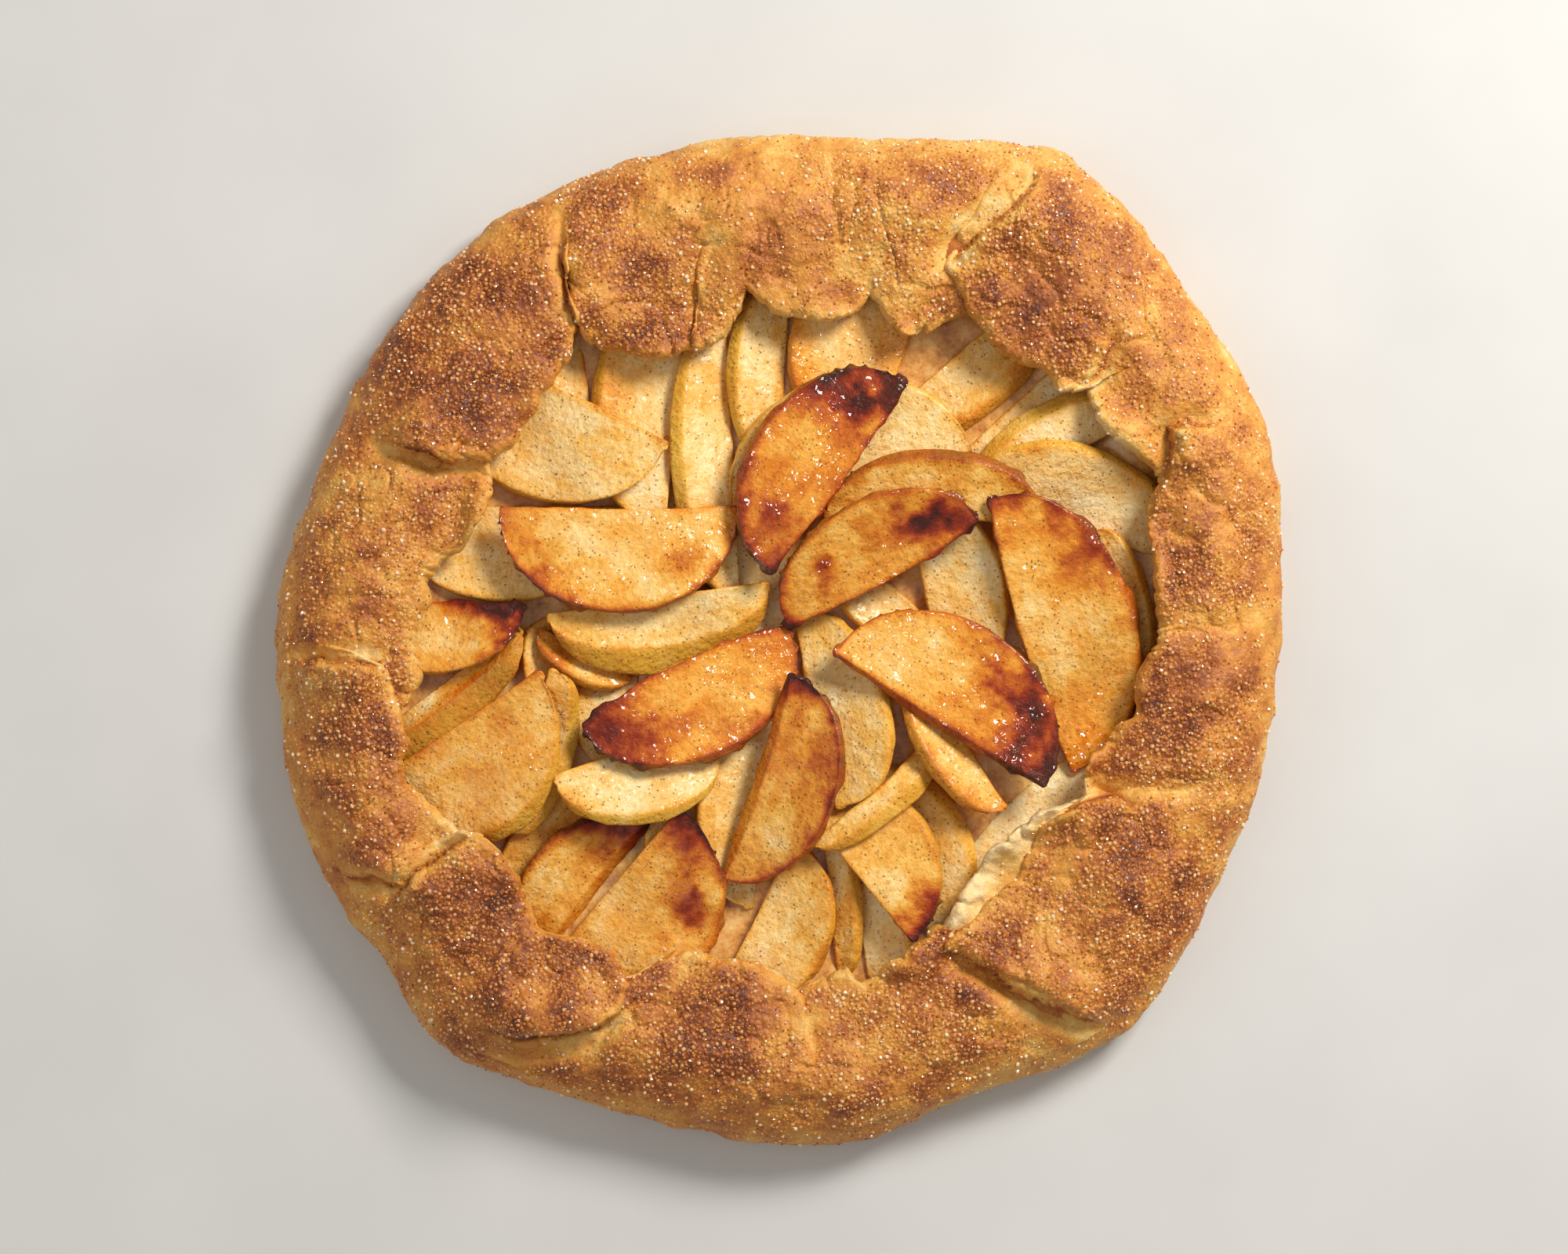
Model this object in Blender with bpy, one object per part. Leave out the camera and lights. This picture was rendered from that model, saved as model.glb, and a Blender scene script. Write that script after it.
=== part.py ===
"""A rustic apple galette: a folded pastry crust round a bed of sliced apples.

Lengths are millimetres, which MM turns to metres. +X is the galette's right, +Y is its far
side, and its flat underside is at z = 0.
"""

import math
import random

import bmesh
import bpy
import numpy as np
from mathutils import Matrix, Vector

MM = 0.001

# Driving dimensions of the whole galette.
FLOOR_THICKNESS = 3.5
BED_TOP = 8.0
RIM_HEIGHT = 24.0
RIM_WIDEST_HEIGHT = 6.5
RIM_ROUNDING = 22.0
RIM_SETTLING = 4.0
FOLD_THICKNESS = 4.2
FOLD_REACH_OVER_FILLING = 12.0
CLEARANCE = 0.35

# Distance from the centre to the outside of the crust, at even angles from +X.
RIM_RADII = [129, 131.2, 135.8, 137.3, 138.3, 142, 145.2, 137.5, 131.5, 130.3, 130.1, 129.8,
             130.2, 129.8, 128.5, 126.2, 126.2, 127.8, 129.3, 129.5, 131, 131.1, 131, 135.4,
             131, 128, 127.5, 129.6, 129.8, 126.9, 129.2, 133.7, 132, 129.1, 129, 128.5]
# Distance from the centre to the free edge of the folded dough, at even angles from +X.
OPENING_RADII = [96, 97, 105, 96, 95, 87, 86, 78, 91, 87, 85, 88,
                 92, 99, 95, 91, 91, 82, 86, 89, 84, 80, 83, 92]

# Folds of dough, clockwise from the far left. Each has the points of its free edge, the
# two directions in which its sides run out to the rim, and how far each side is lifted.
FOLDS = [
    dict(name="far_left", rim=(151, 118), lift=(3.2, 2.6), edge=[
        (-87, 47), (-80.5, 45.5), (-73.5, 45), (-69.5, 49), (-62.5, 58), (-58.5, 63),
        (-54.5, 70), (-53, 75.5), (-51.5, 82), (-54, 87.5), (-56, 91.5)]),
    dict(name="far_square", rim=(121, 95), lift=(0.0, 0.4), edge=[
        (-53, 84), (-51.5, 80), (-49, 76), (-36.5, 73.8), (-28.5, 73.4), (-20, 75)]),
    dict(name="far_roll", rim=(97, 92), lift=(2.4, 1.8), edge=[
        (-21, 80), (-20.5, 75.5), (-17.5, 74.3), (-13.5, 78), (-10.2, 85), (-9.6, 91)]),
    dict(name="far_scallops", rim=(94, 56), lift=(1.0, 0.0), edge=[
        (-10, 91.5), (-5.5, 87.2), (1, 83.5), (9.4, 81.8), (17.4, 83), (22.4, 87.4),
        (27.8, 82), (34.4, 79), (40.4, 79.6), (46.5, 83), (53, 87)]),
    dict(name="far_right", rim=(62, 40), lift=(3.2, 2.4), edge=[
        (43, 96), (44, 90.5), (47.5, 84.5), (52.5, 80), (55.2, 75.4), (60.8, 71.4),
        (66.4, 69), (69.6, 66.2), (72.6, 63.2), (76.4, 62.6), (80, 65)]),
    dict(name="right_apron", rim=(43, 20), lift=(0.4, 0.0), edge=[
        (78.5, 64), (81.4, 56.4), (85.2, 51.4), (90.2, 47), (97, 40), (101, 35)]),
    dict(name="right_panel", rim=(24, 1), lift=(3.2, 0.6), edge=[
        (99.8, 54.2), (100, 47.4), (96.6, 39.8), (94.4, 33.6), (94.2, 29.4),
        (95.2, 22), (95.6, 11.6), (96, 4)]),
    dict(name="right_cheek", rim=(3, -23), lift=(1.0, 0.0), edge=[
        (96.8, 4.5), (94.4, 0.8), (91.8, -6.4), (91.4, -16), (89, -20.2), (84.8, -25),
        (81.4, -27.6), (77, -32), (76.2, -36), (78, -41)]),
    dict(name="near_right_lining", rim=(-20, -50), lift=(-0.6, -0.6), edge=[
        (78, -40.5), (69.2, -41.8), (60.6, -47), (52.8, -54.8), (47.6, -62.6),
        (42.4, -71), (38, -76)]),
    dict(name="near_right", rim=(-18, -46.5), lift=(2.4, 3.4), edge=[
        (78.4, -39.2), (67.8, -45.6), (64, -52.2), (62, -58.8), (55.4, -65),
        (47.4, -72.4), (43.8, -78)]),
    dict(name="near_hollow", rim=(-44, -93), lift=(0.0, 0.0), edge=[
        (42, -71.5), (35.2, -75), (31.4, -77.6), (26.8, -83.8), (23, -87.4),
        (17.2, -84.4), (12.4, -85.8), (6.8, -87), (1, -91)]),
    dict(name="near_scallop", rim=(-88, -131), lift=(2.4, 0.0), edge=[
        (7.4, -95), (6.2, -90.6), (3.4, -87.6), (-1.4, -83.8), (-6.2, -81), (-11.8, -80.6),
        (-14.8, -81.2), (-17.4, -78.8), (-24.2, -78.2), (-29, -79.4), (-33, -82), (-36, -87),
        (-41, -93)]),
    dict(name="near_tongue", rim=(-127, -149.5), lift=(3.0, 3.0), edge=[
        (-44, -97), (-39.8, -93), (-38.4, -88.4), (-39.8, -83.8), (-42.4, -79.8),
        (-47, -77.2), (-53, -74.6), (-59, -74), (-61.8, -71.8), (-62.2, -67.8),
        (-64.2, -63.2), (-67.6, -57.8), (-72.2, -53.2), (-75, -50), (-80, -48.8)]),
    dict(name="left_lower", rim=(-147, -178.5), lift=(0.0, 3.2), edge=[
        (-78, -52), (-83.6, -46.6), (-86.8, -44), (-90.2, -40), (-92.8, -36),
        (-94.8, -30.6), (-94.4, -26.6), (-96.2, -22), (-97.4, -14.8), (-98.4, -8.8),
        (-100.2, -6.2), (-104, -4.8)]),
    dict(name="left_upper", rim=(-174, -212), lift=(0.0, 0.0), edge=[
        (-95, -17), (-92, -13.2), (-91, -9.2), (-92, -0.6), (-91.8, 5), (-89.8, 11.6),
        (-89.4, 16.4), (-84.4, 22), (-80, 23.6), (-76.6, 28), (-75, 33.4), (-73.2, 38.4),
        (-73.4, 45)]),
]
# The rim's outer side below its widest line, and above it, as distances in from that line.
RIM_FOOT = [(6.0, 0.0), (1.6, 1.4), (0.0, RIM_WIDEST_HEIGHT)]
RIM_SHOULDER = [0.9, 2.8, 6.0]
BODY_FLAT_INSET = 10.0
BODY_UNDER_FOLDS = 2.6
# Folds end this far in from the rim, sunk in it, and lap this deep over what they cover.
FOLD_END_INSET = 4.6
FOLD_END_SUNK = 1.6
LAP = 1.2
RIPPLE_HEIGHT = 1.1
# Where a fold's cross rows lie, from its free edge to the rim.
FOLD_ROWS = [0.0, 0.04, 0.15, 0.32, 0.52, 0.72, 0.89, 1.0]
FOLD_COLUMN_SPACING = 6.0
PATH_STEPS = 12
EDGE_ROUNDING = 1.4
# How far round each point of a fold the apples under it are cleared, and evened out.
DRAPE_REACH = 11.0
DRAPE_SOFTNESS = 4.5

# Apple slices from the lowest to the topmost. Going from tip to tip, the peel side bulges
# to the left by width. bow moves the core side, band is how much of the sloping peel side
# shows from above, heel the same for the core side, and thick is the peel side's height.
SLICES = [
    dict(tips=((41.4, 3.8), (18.4, 23.8)), width=14),
    dict(tips=((3.4, -2.2), (1.4, 43.8)), width=18),
    dict(tips=((-45.6, 47.8), (-51.6, 79.8)), width=10),
    dict(tips=((-26.6, 19.8), (-24.2, 51.8)), width=12),
    dict(tips=((-38.6, -34.2), (-35.6, -4.2)), width=16),
    dict(tips=((-68.6, -66.2), (-38.6, -38.2)), width=14),
    dict(tips=((-15.6, -66.2), (-20.6, -34.2)), width=17),
    dict(tips=((-55.6, -17.2), (-58.6, 5.8)), width=9, thick=5.8),
    dict(tips=((-38.6, -8.2), (-60.6, 3.8)), width=9, band=2),
    dict(tips=((76.4, 75.8), (42.4, 43.8)), width=13),
    dict(tips=((76.4, -28.2), (40.4, -66.2)), width=17),
    dict(tips=((11.4, -36.2), (40.4, -77.2)), width=25, band=3),
    dict(tips=((17.4, -50.2), (23.4, -90.2)), width=14),
    dict(tips=((11.4, -48.2), (15.0, -85.8)), width=8.5, band=2.5),
    dict(tips=((-28.6, 30.8), (-22.6, 93.8)), width=22.5, full=0.36, band=2.4),
    dict(tips=((-9.6, 11.8), (-13.6, 83.8)), width=16.5, band=3.6),
    dict(tips=((0.4, 45.8), (3.2, 93.8)), width=15.5, band=2.8),
    dict(tips=((24, 49.8), (39.4, 95.8)), width=30, full=0.36, band=1.8),
    dict(tips=((66.4, 91.8), (26.4, 56.8)), width=17.5, band=2.2),
    dict(tips=((51.4, 33.8), (92.4, 57.8)), width=16, band=3.6),
    dict(tips=((45.4, 32.8), (103.4, 20.8)), width=24.5, band=2.4, skew=-0.2),
    dict(tips=((78.4, 27.8), (88.4, -8.2)), width=12.5, full=0.36, band=2),
    dict(tips=((-42.6, 34.8), (-97.6, 34.8)), width=25, full=0.4),
    dict(tips=((-67.6, 3.8), (-107.6, -27.2)), width=12.5, band=7.5, thick=6.6),
    dict(tips=((-65, 10.2), (-112.6, 9.4)), width=18.5, full=0.6, ends=(-1, 0.5)),
    dict(tips=((-58.6, -7.2), (-70.6, -48.2)), width=12.5, full=0.4, band=3),
    dict(tips=((-6.6, -68.2), (2.4, -12.2)), width=19),
    dict(tips=((3.8, -51.8), (-17.6, -93.2)), width=21, band=1.5),
    dict(tips=((4.4, -40.2), (33.8, -76.6)), width=22.5, band=1.2, full=0.55),
    dict(tips=((40.4, -22.2), (8.4, -50.4)), width=10, band=3.4, bow=1.5),
    dict(tips=((58, -41.8), (36, -6.2)), width=12.5, band=2.4),
    dict(tips=((3.4, 6.8), (14.4, -42.2)), width=20, full=0.4, band=2, skew=0.25),
    dict(tips=((32.4, 35.8), (43.4, -14.2)), width=21.5, band=1.5),
    dict(tips=((-11.6, 33.8), (50.4, 43.8)), width=30, band=1.5),
    dict(tips=((12.4, 30.8), (66.4, 30.8)), width=18.5, band=2.4),
    dict(tips=((-28.2, 51.2), (-85.6, 76.6)), width=28, full=0.48, bow=-0.8),
    dict(tips=((-60.6, -83.2), (-32.6, -46.2)), width=19, full=0.62, skew=-0.25, heel=2.5),
    dict(tips=((-25.2, -42), (-60, -83)), width=30.5, full=0.56),
    dict(tips=((-61.4, -7.8), (-107.6, -38.2)), width=31.5, band=3.5, ends=(-1, 0.55)),
    dict(tips=((-3, 15.4), (-58.6, 7.4)), width=20, band=7, thick=5.8),
    dict(tips=((-15.6, -28.4), (-56.6, -33.8)), width=16, bow=-3, band=3),
    dict(tips=((53.4, 36.2), (75, -33.2)), width=28, bow=-2.2, thick=5.6),
    dict(tips=((-10.8, 34.6), (-70.6, 34.6)), width=27.8, bow=0.6, full=0.55, tip=5),
    dict(tips=((1.8, 4.4), (-49.8, -20.6)), width=23, bow=-3, skew=-0.15, tip=4),
    dict(tips=((2.2, -8.2), (-14.6, -60.2)), width=22, heel=2.5),
    dict(tips=((14.6, -3.4), (67, -37)), width=27.2, bow=-1.6, heel=1.6),
    dict(tips=((2.6, 3.8), (50.8, 30.2)), width=20, bow=-2),
    dict(tips=((-1.6, 18.2), (31.8, 65.8)), width=23.5, bow=-1.8),
]
SLICE_USUAL = dict(bow=0.0, band=0.8, heel=0.0, thick=4.8, full=0.5, skew=0.0, tip=2.6,
                   ends=(-1.0, 1.0))
CORE_THICKNESS = 1.9
THINNING_TO_TIPS = 0.4
FACE_DIP = 0.25
PEEL_CREST = 0.42
WIDEST_BAND = 0.6
WIDEST_HEEL = 0.3
STATIONS = 8
WIDTH_STEPS = 40
CAVITY_GAP = 1.2
# The resting plane of a slice is searched for on a grid of slopes that shrinks each round.
STEEPEST = 0.22
SLOPE_ROUNDS = 5
SLOPE_TRIES = 7

# Height map of the filling: square cells over the whole galette. Two slices whose cells are
# nearer than CONTACT_REACH count as touching.
CELL = 1.0
HALF_CELLS = 125
CONTACT_REACH = 1.6

# Coarse sugar grains that show from a step away.
GRAINS = 90
GRAIN_SIDE = (1.5, 2.3)
GRAIN_PROPORTIONS = (1.0, 0.8, 0.9)
GRAIN_TILT = (0.1, 0.7)
GRAIN_SPACING = 9.0
GRAIN_SUNK = 0.3
GRAIN_LEAST_UPRIGHT = 0.6
GRAIN_SEED = 7
SHARP_ANGLE = 40


def clear_scene():
    for obj in list(bpy.data.objects):
        bpy.data.objects.remove(obj, do_unlink=True)


def material(name, colour, roughness):
    made = bpy.data.materials.new(name)
    made.use_nodes = True
    shader = made.node_tree.nodes["Principled BSDF"]
    shader.inputs["Base Color"].default_value = (*colour, 1.0)
    shader.inputs["Roughness"].default_value = roughness
    shader.inputs["Metallic"].default_value = 0.0
    return made


def new_object(name, vertices, faces, home, at=(0, 0, 0)):
    """An object at a place, from vertices that are given in the galette's frame."""
    mesh = bpy.data.meshes.new(name)
    mesh.from_pydata((np.array(vertices) - at) * MM, [], faces)
    obj = bpy.data.objects.new(name, mesh)
    obj.location = np.array(at) * MM
    home.objects.link(obj)
    outward(obj)
    return obj


def round_the_ring(radii, degrees):
    """A smooth closed outline through radii at even angles."""
    place = np.asarray(degrees, float) * len(radii) / 360
    first = np.floor(place).astype(int)
    share = place - first
    table = np.asarray(radii, float)
    before, here, after, last = (table[(first + k) % len(table)] for k in (-1, 0, 1, 2))
    return 0.5 * (2 * here + (after - before) * share
                  + (2 * before - 5 * here + 4 * after - last) * share ** 2
                  + (3 * (here - after) + last - before) * share ** 3)


def rim_radius(degrees):
    return round_the_ring(RIM_RADII, degrees)


def cavity_radius(degrees):
    return round_the_ring(OPENING_RADII, degrees) + FOLD_REACH_OVER_FILLING


def degrees_of(x, y):
    return np.degrees(np.arctan2(y, x))


def smooth_path(points, spacing):
    """Points an even distance apart along a smooth line through the given ones."""
    knots = np.array([points[0], *points, points[-1]], float)
    dense = []
    for k in range(1, len(knots) - 2):
        p0, p1, p2, p3 = knots[k - 1:k + 3]
        for share in np.linspace(0, 1, PATH_STEPS, endpoint=False):
            dense.append(0.5 * (2 * p1 + (p2 - p0) * share
                                + (2 * p0 - 5 * p1 + 4 * p2 - p3) * share ** 2
                                + (3 * (p1 - p2) + p3 - p0) * share ** 3))
    dense = np.array([*dense, knots[-1]])
    length = np.concatenate([[0], np.cumsum(np.linalg.norm(np.diff(dense, axis=0), axis=1))])
    count = max(4, round(length[-1] / spacing) + 1)
    edge_share = EDGE_ROUNDING / length[-1]
    shares = np.concatenate([[0, edge_share], np.linspace(0, 1, count)[1:-1], [1 - edge_share, 1]])
    return shares, np.stack([np.interp(shares * length[-1], length, dense[:, k]) for k in (0, 1)], axis=1)


class HeightMap:
    """The top of everything laid down so far, cell by cell, in millimetres."""

    def __init__(self, level):
        steps = np.arange(-HALF_CELLS, HALF_CELLS + 1) * CELL
        self.x, self.y = np.meshgrid(steps, steps, indexing="ij")
        self.height = np.full(self.x.shape, float(level))

    def spread(self, reach, values=None):
        """The highest value within reach of each cell."""
        source = self.height if values is None else values
        most = source.copy()
        cells = int(math.ceil(reach / CELL))
        for i in range(-cells, cells + 1):
            for j in range(-cells, cells + 1):
                if math.hypot(i, j) * CELL <= reach:
                    most = np.maximum(most, np.roll(source, (i, j), axis=(0, 1)))
        return most

    def blur(self, reach, values):
        """The mean of the values within reach of each cell."""
        total, count = np.zeros_like(values), 0
        cells = int(math.ceil(reach / CELL))
        for i in range(-cells, cells + 1):
            for j in range(-cells, cells + 1):
                if math.hypot(i, j) * CELL <= reach:
                    total += np.roll(values, (i, j), axis=(0, 1))
                    count += 1
        return total / count

    def look_up(self, values, x, y):
        i = np.clip(np.round(np.asarray(x) / CELL).astype(int) + HALF_CELLS, 0, 2 * HALF_CELLS)
        j = np.clip(np.round(np.asarray(y) / CELL).astype(int) + HALF_CELLS, 0, 2 * HALF_CELLS)
        return values[i, j]


class Slice:
    """One wedge of apple, lying on one cut face."""

    def __init__(self, row):
        self.set = {**SLICE_USUAL, **row}
        self.start = np.array(self.set["tips"][0], float)
        self.end = np.array(self.set["tips"][1], float)
        self.length = np.linalg.norm(self.end - self.start)
        self.along = (self.end - self.start) / self.length
        self.left = np.array([-self.along[1], self.along[0]])

    def core_side(self, u):
        return self.set["bow"] * (1 - u * u)

    def peel_side(self, u):
        shifted = np.clip(u - self.set["skew"] * (1 - u * u) * 0.5, -1, 1)
        round_share = np.maximum(1 - shifted ** 2, 0) ** self.set["full"]
        return self.set["tip"] + (self.set["width"] - self.set["tip"]) * round_share

    def thickness(self, u, across):
        """Height of the upper cut face above the lower one."""
        reach = across / self.set["width"]
        taper = 1 - THINNING_TO_TIPS * np.abs(u) ** 3
        return (CORE_THICKNESS + (self.set["thick"] - CORE_THICKNESS) * reach) * taper

    def plan(self, u, across):
        along = (np.asarray(u) + 1) / 2 * self.length
        x = self.start[0] + along * self.along[0] + across * self.left[0]
        y = self.start[1] + along * self.along[1] + across * self.left[1]
        return x, y

    def local(self, x, y):
        dx, dy = x - self.start[0], y - self.start[1]
        u = 2 * (dx * self.along[0] + dy * self.along[1]) / self.length - 1
        return u, dx * self.left[0] + dy * self.left[1]

    def inside_crust(self, x, y):
        return np.hypot(x, y) < cavity_radius(degrees_of(x, y)) - CAVITY_GAP

    def footprint(self, x, y):
        u, across = self.local(x, y)
        inside = (u >= self.set["ends"][0]) & (u <= self.set["ends"][1])
        held = np.clip(u, -1, 1)
        inside &= (across >= self.core_side(held)) & (across <= self.peel_side(held))
        return inside & self.inside_crust(x, y)

    def lower_face(self, x, y):
        return self.level + self.slope[0] * (x - self.centre[0]) + self.slope[1] * (y - self.centre[1])

    def lay_down(self, heap):
        """Finds the lowest resting plane over the heap, then adds this slice to it."""
        under = self.footprint(heap.x, heap.y)
        self.centre = np.array([heap.x[under].mean(), heap.y[under].mean()])
        touching = heap.spread(CONTACT_REACH, under.astype(float)) > 0
        high = heap.height[touching]
        dx = heap.x[touching] - self.centre[0]
        dy = heap.y[touching] - self.centre[1]
        best, reach = np.zeros(2), STEEPEST
        for _ in range(SLOPE_ROUNDS):
            tries = [(level_of(high, dx, dy, b, c), b, c)
                     for b in np.linspace(best[0] - reach, best[0] + reach, SLOPE_TRIES)
                     for c in np.linspace(best[1] - reach, best[1] + reach, SLOPE_TRIES)
                     if abs(b) <= STEEPEST and abs(c) <= STEEPEST]
            lowest = min(tries)
            best, reach = np.array(lowest[1:]), reach / 3
        self.slope, self.level = best, lowest[0] + CLEARANCE
        u, across = self.local(heap.x, heap.y)
        top = self.lower_face(heap.x, heap.y) + self.thickness(np.clip(u, -1, 1), across)
        heap.height = np.where(under, np.maximum(heap.height, top), heap.height)

    def section(self, u):
        """Points round the slice at u, or None where the crust leaves no room."""
        core, peel = self.core_side(u), self.peel_side(u)
        steps = np.linspace(core, peel, WIDTH_STEPS)
        room = self.inside_crust(*self.plan(u, steps))
        if not room[0] or room.sum() < 4:
            return None
        peel = steps[room][-1]
        share = math.sqrt(max(1 - u * u, 0))
        width = peel - core
        band = min(self.set["band"] * share, WIDEST_BAND * width)
        heel = min(self.set["heel"] * share, WIDEST_HEEL * width)
        peel_top = peel - band
        core_top = core + heel
        mid = (peel_top + core_top) / 2
        outline = [
            (core, 0.0),
            (peel - width / 12, 0.0),
            (peel, PEEL_CREST * self.thickness(u, peel)),
            (peel_top, self.thickness(u, peel_top)),
            (mid, self.thickness(u, mid) - FACE_DIP),
            (core_top, self.thickness(u, core_top)),
        ]
        ring = []
        for across, up in outline:
            x, y = self.plan(u, across)
            ring.append((x, y, self.lower_face(x, y) + up))
        return ring

    def build(self, name, home, look):
        bends = np.linspace(-math.pi / 2, math.pi / 2, STATIONS)
        low, high = self.set["ends"]
        stations = [low + (high - low) * (1 + math.sin(b)) / 2 for b in bends]
        rings = [ring for ring in map(self.section, stations) if ring]
        obj = loft(name, rings, home, (*self.centre, self.level))
        obj.data.materials.append(look)


def level_of(high, dx, dy, b, c):
    return float(np.max(high - b * dx - c * dy))


def loft(name, rings, home, at):
    """A closed skin over matching rings."""
    sides = len(rings[0])
    vertices = [point for ring in rings for point in ring]
    faces = [tuple(reversed(range(sides)))]
    for k in range(len(rings) - 1):
        for i in range(sides):
            a, b = k * sides + i, k * sides + (i + 1) % sides
            faces.append((a, b, b + sides, a + sides))
    faces.append(tuple(range((len(rings) - 1) * sides, len(rings) * sides)))
    return new_object(name, vertices, faces, home, at)


def outward(obj):
    """Splits the faces into triangles that all face out."""
    work = bmesh.new()
    work.from_mesh(obj.data)
    bmesh.ops.triangulate(work, faces=work.faces)
    bmesh.ops.recalc_face_normals(work, faces=work.faces)
    work.to_mesh(obj.data)
    work.free()


def ripple(x, y):
    """Soft unevenness of hand-folded dough."""
    broad = np.sin(x / 7.3 + 1.1) * np.sin(y / 6.1 - 0.4)
    diagonal = np.sin((x + y) / 4.7) * np.sin((x - y) / 9.1 + 2.0)
    return RIPPLE_HEIGHT * (0.6 * broad + 0.4 * diagonal)


def rim_dome(inset):
    """Height of the crust's outer curve, inset millimetres in from its widest line."""
    share = np.clip(np.asarray(inset, float) / RIM_ROUNDING, 0, 1)
    rise = np.sqrt(1 - (1 - share) ** 2)
    settle = np.clip((np.asarray(inset, float) - RIM_ROUNDING) / RIM_ROUNDING, 0, 1)
    return RIM_WIDEST_HEIGHT + (RIM_HEIGHT - RIM_WIDEST_HEIGHT) * rise - RIM_SETTLING * settle


class Pastry:
    """Heights of the folded dough, which follows the rim and drapes over the apples."""

    def __init__(self, heap):
        self.heap = heap
        self.over_apples = heap.blur(DRAPE_SOFTNESS, heap.spread(DRAPE_REACH))

    def top(self, x, y):
        inset = rim_radius(degrees_of(x, y)) - np.hypot(x, y)
        draped = self.heap.look_up(self.over_apples, x, y) + CLEARANCE + FOLD_THICKNESS
        return np.maximum(rim_dome(inset), draped)

    def fold(self, row, home):
        shares, edge = smooth_path(row["edge"], FOLD_COLUMN_SPACING)
        columns, rows = len(shares), len(FOLD_ROWS)
        directions = np.radians(np.interp(shares, [0, 1], row["rim"]))
        reach = rim_radius(np.degrees(directions)) - FOLD_END_INSET
        outer = np.stack([reach * np.cos(directions), reach * np.sin(directions)], axis=1)
        upper, lower = [], []
        for i in range(columns):
            lift = np.interp(shares[i], [0, 1], row["lift"])
            for j, share in enumerate(FOLD_ROWS):
                x, y = edge[i] + (outer[i] - edge[i]) * share
                fade = (1 - share) ** 0.5
                crest = float(self.top(x, y)) + lift * fade
                bottom = crest - FOLD_THICKNESS - LAP * fade
                top = crest + ripple(x, y)
                if j == 0 or i in (0, columns - 1):
                    top = (top + bottom) / 2
                if j == rows - 1:
                    top, bottom = crest - FOLD_END_SUNK, bottom - FOLD_END_SUNK
                upper.append((x, y, top))
                lower.append((x, y, max(bottom, float(self.top(x, y)) - FOLD_THICKNESS)))
        count = len(upper)
        faces = []
        for i in range(columns - 1):
            for j in range(rows - 1):
                a, b = i * rows + j, (i + 1) * rows + j
                faces.append((a, b, b + 1, a + 1))
                faces.append((count + a, count + a + 1, count + b + 1, count + b))
        border = ([i * rows for i in range(columns)]
                  + [(columns - 1) * rows + j for j in range(1, rows)]
                  + [i * rows + rows - 1 for i in reversed(range(columns - 1))]
                  + [j for j in reversed(range(1, rows - 1))])
        for a, b in zip(border, border[1:] + border[:1]):
            faces.append((b, a, count + a, count + b))
        new_object(row["name"], upper + lower, faces, home)

    def body(self, home, steps=72):
        """The floor and the solid rim that the folds lie on."""
        rings = []
        for k in range(steps):
            degrees = 360 * k / steps
            rim, cavity = float(rim_radius(degrees)), float(cavity_radius(degrees))
            direction = np.array([math.cos(math.radians(degrees)), math.sin(math.radians(degrees))])
            profile = [(rim - inset, z) for inset, z in RIM_FOOT]
            profile += [(rim - inset, float(rim_dome(inset))) for inset in RIM_SHOULDER]
            for radius in np.linspace(rim - BODY_FLAT_INSET, cavity, 5):
                profile.append((radius, float(self.top(*(direction * radius))) - BODY_UNDER_FOLDS))
            profile.append((cavity, FLOOR_THICKNESS))
            rings.append([(*(direction * radius), z) for radius, z in profile])
        sides = len(rings[0])
        vertices = [point for ring in rings for point in ring] + [(0, 0, 0), (0, 0, FLOOR_THICKNESS)]
        faces = []
        for k in range(steps):
            a, b = k * sides, (k + 1) % steps * sides
            for i in range(sides - 1):
                faces.append((a + i, b + i, b + i + 1, a + i + 1))
            faces.append((len(vertices) - 2, b, a))
            faces.append((len(vertices) - 1, a + sides - 1, b + sides - 1))
        return new_object("crust", vertices, faces, home)


def unite(body, parts):
    """Fuses every object of a collection into body, then drops them."""
    joiner = body.modifiers.new("join", "BOOLEAN")
    joiner.operation = "UNION"
    joiner.solver = "MANIFOLD"
    joiner.operand_type = "COLLECTION"
    joiner.collection = parts
    bpy.context.view_layer.update()
    graph = bpy.context.evaluated_depsgraph_get()
    fused = bpy.data.meshes.new_from_object(body.evaluated_get(graph))
    body.modifiers.clear()
    body.data = fused
    for obj in list(parts.objects):
        bpy.data.objects.remove(obj, do_unlink=True)
    keep_largest(body)


def keep_largest(obj):
    """Drops loose scraps and fills sealed hollows: only the outer skin is kept."""
    work = bmesh.new()
    work.from_mesh(obj.data)
    left = set(work.verts)
    shells = []
    while left:
        seed = left.pop()
        shell, edge = {seed}, [seed]
        while edge:
            for link in edge.pop().link_edges:
                for vertex in link.verts:
                    if vertex not in shell:
                        shell.add(vertex)
                        edge.append(vertex)
        left -= shell
        shells.append(shell)
    shells.sort(key=len)
    bmesh.ops.delete(work, geom=[v for shell in shells[:-1] for v in shell], context="VERTS")
    work.to_mesh(obj.data)
    work.free()


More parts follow.
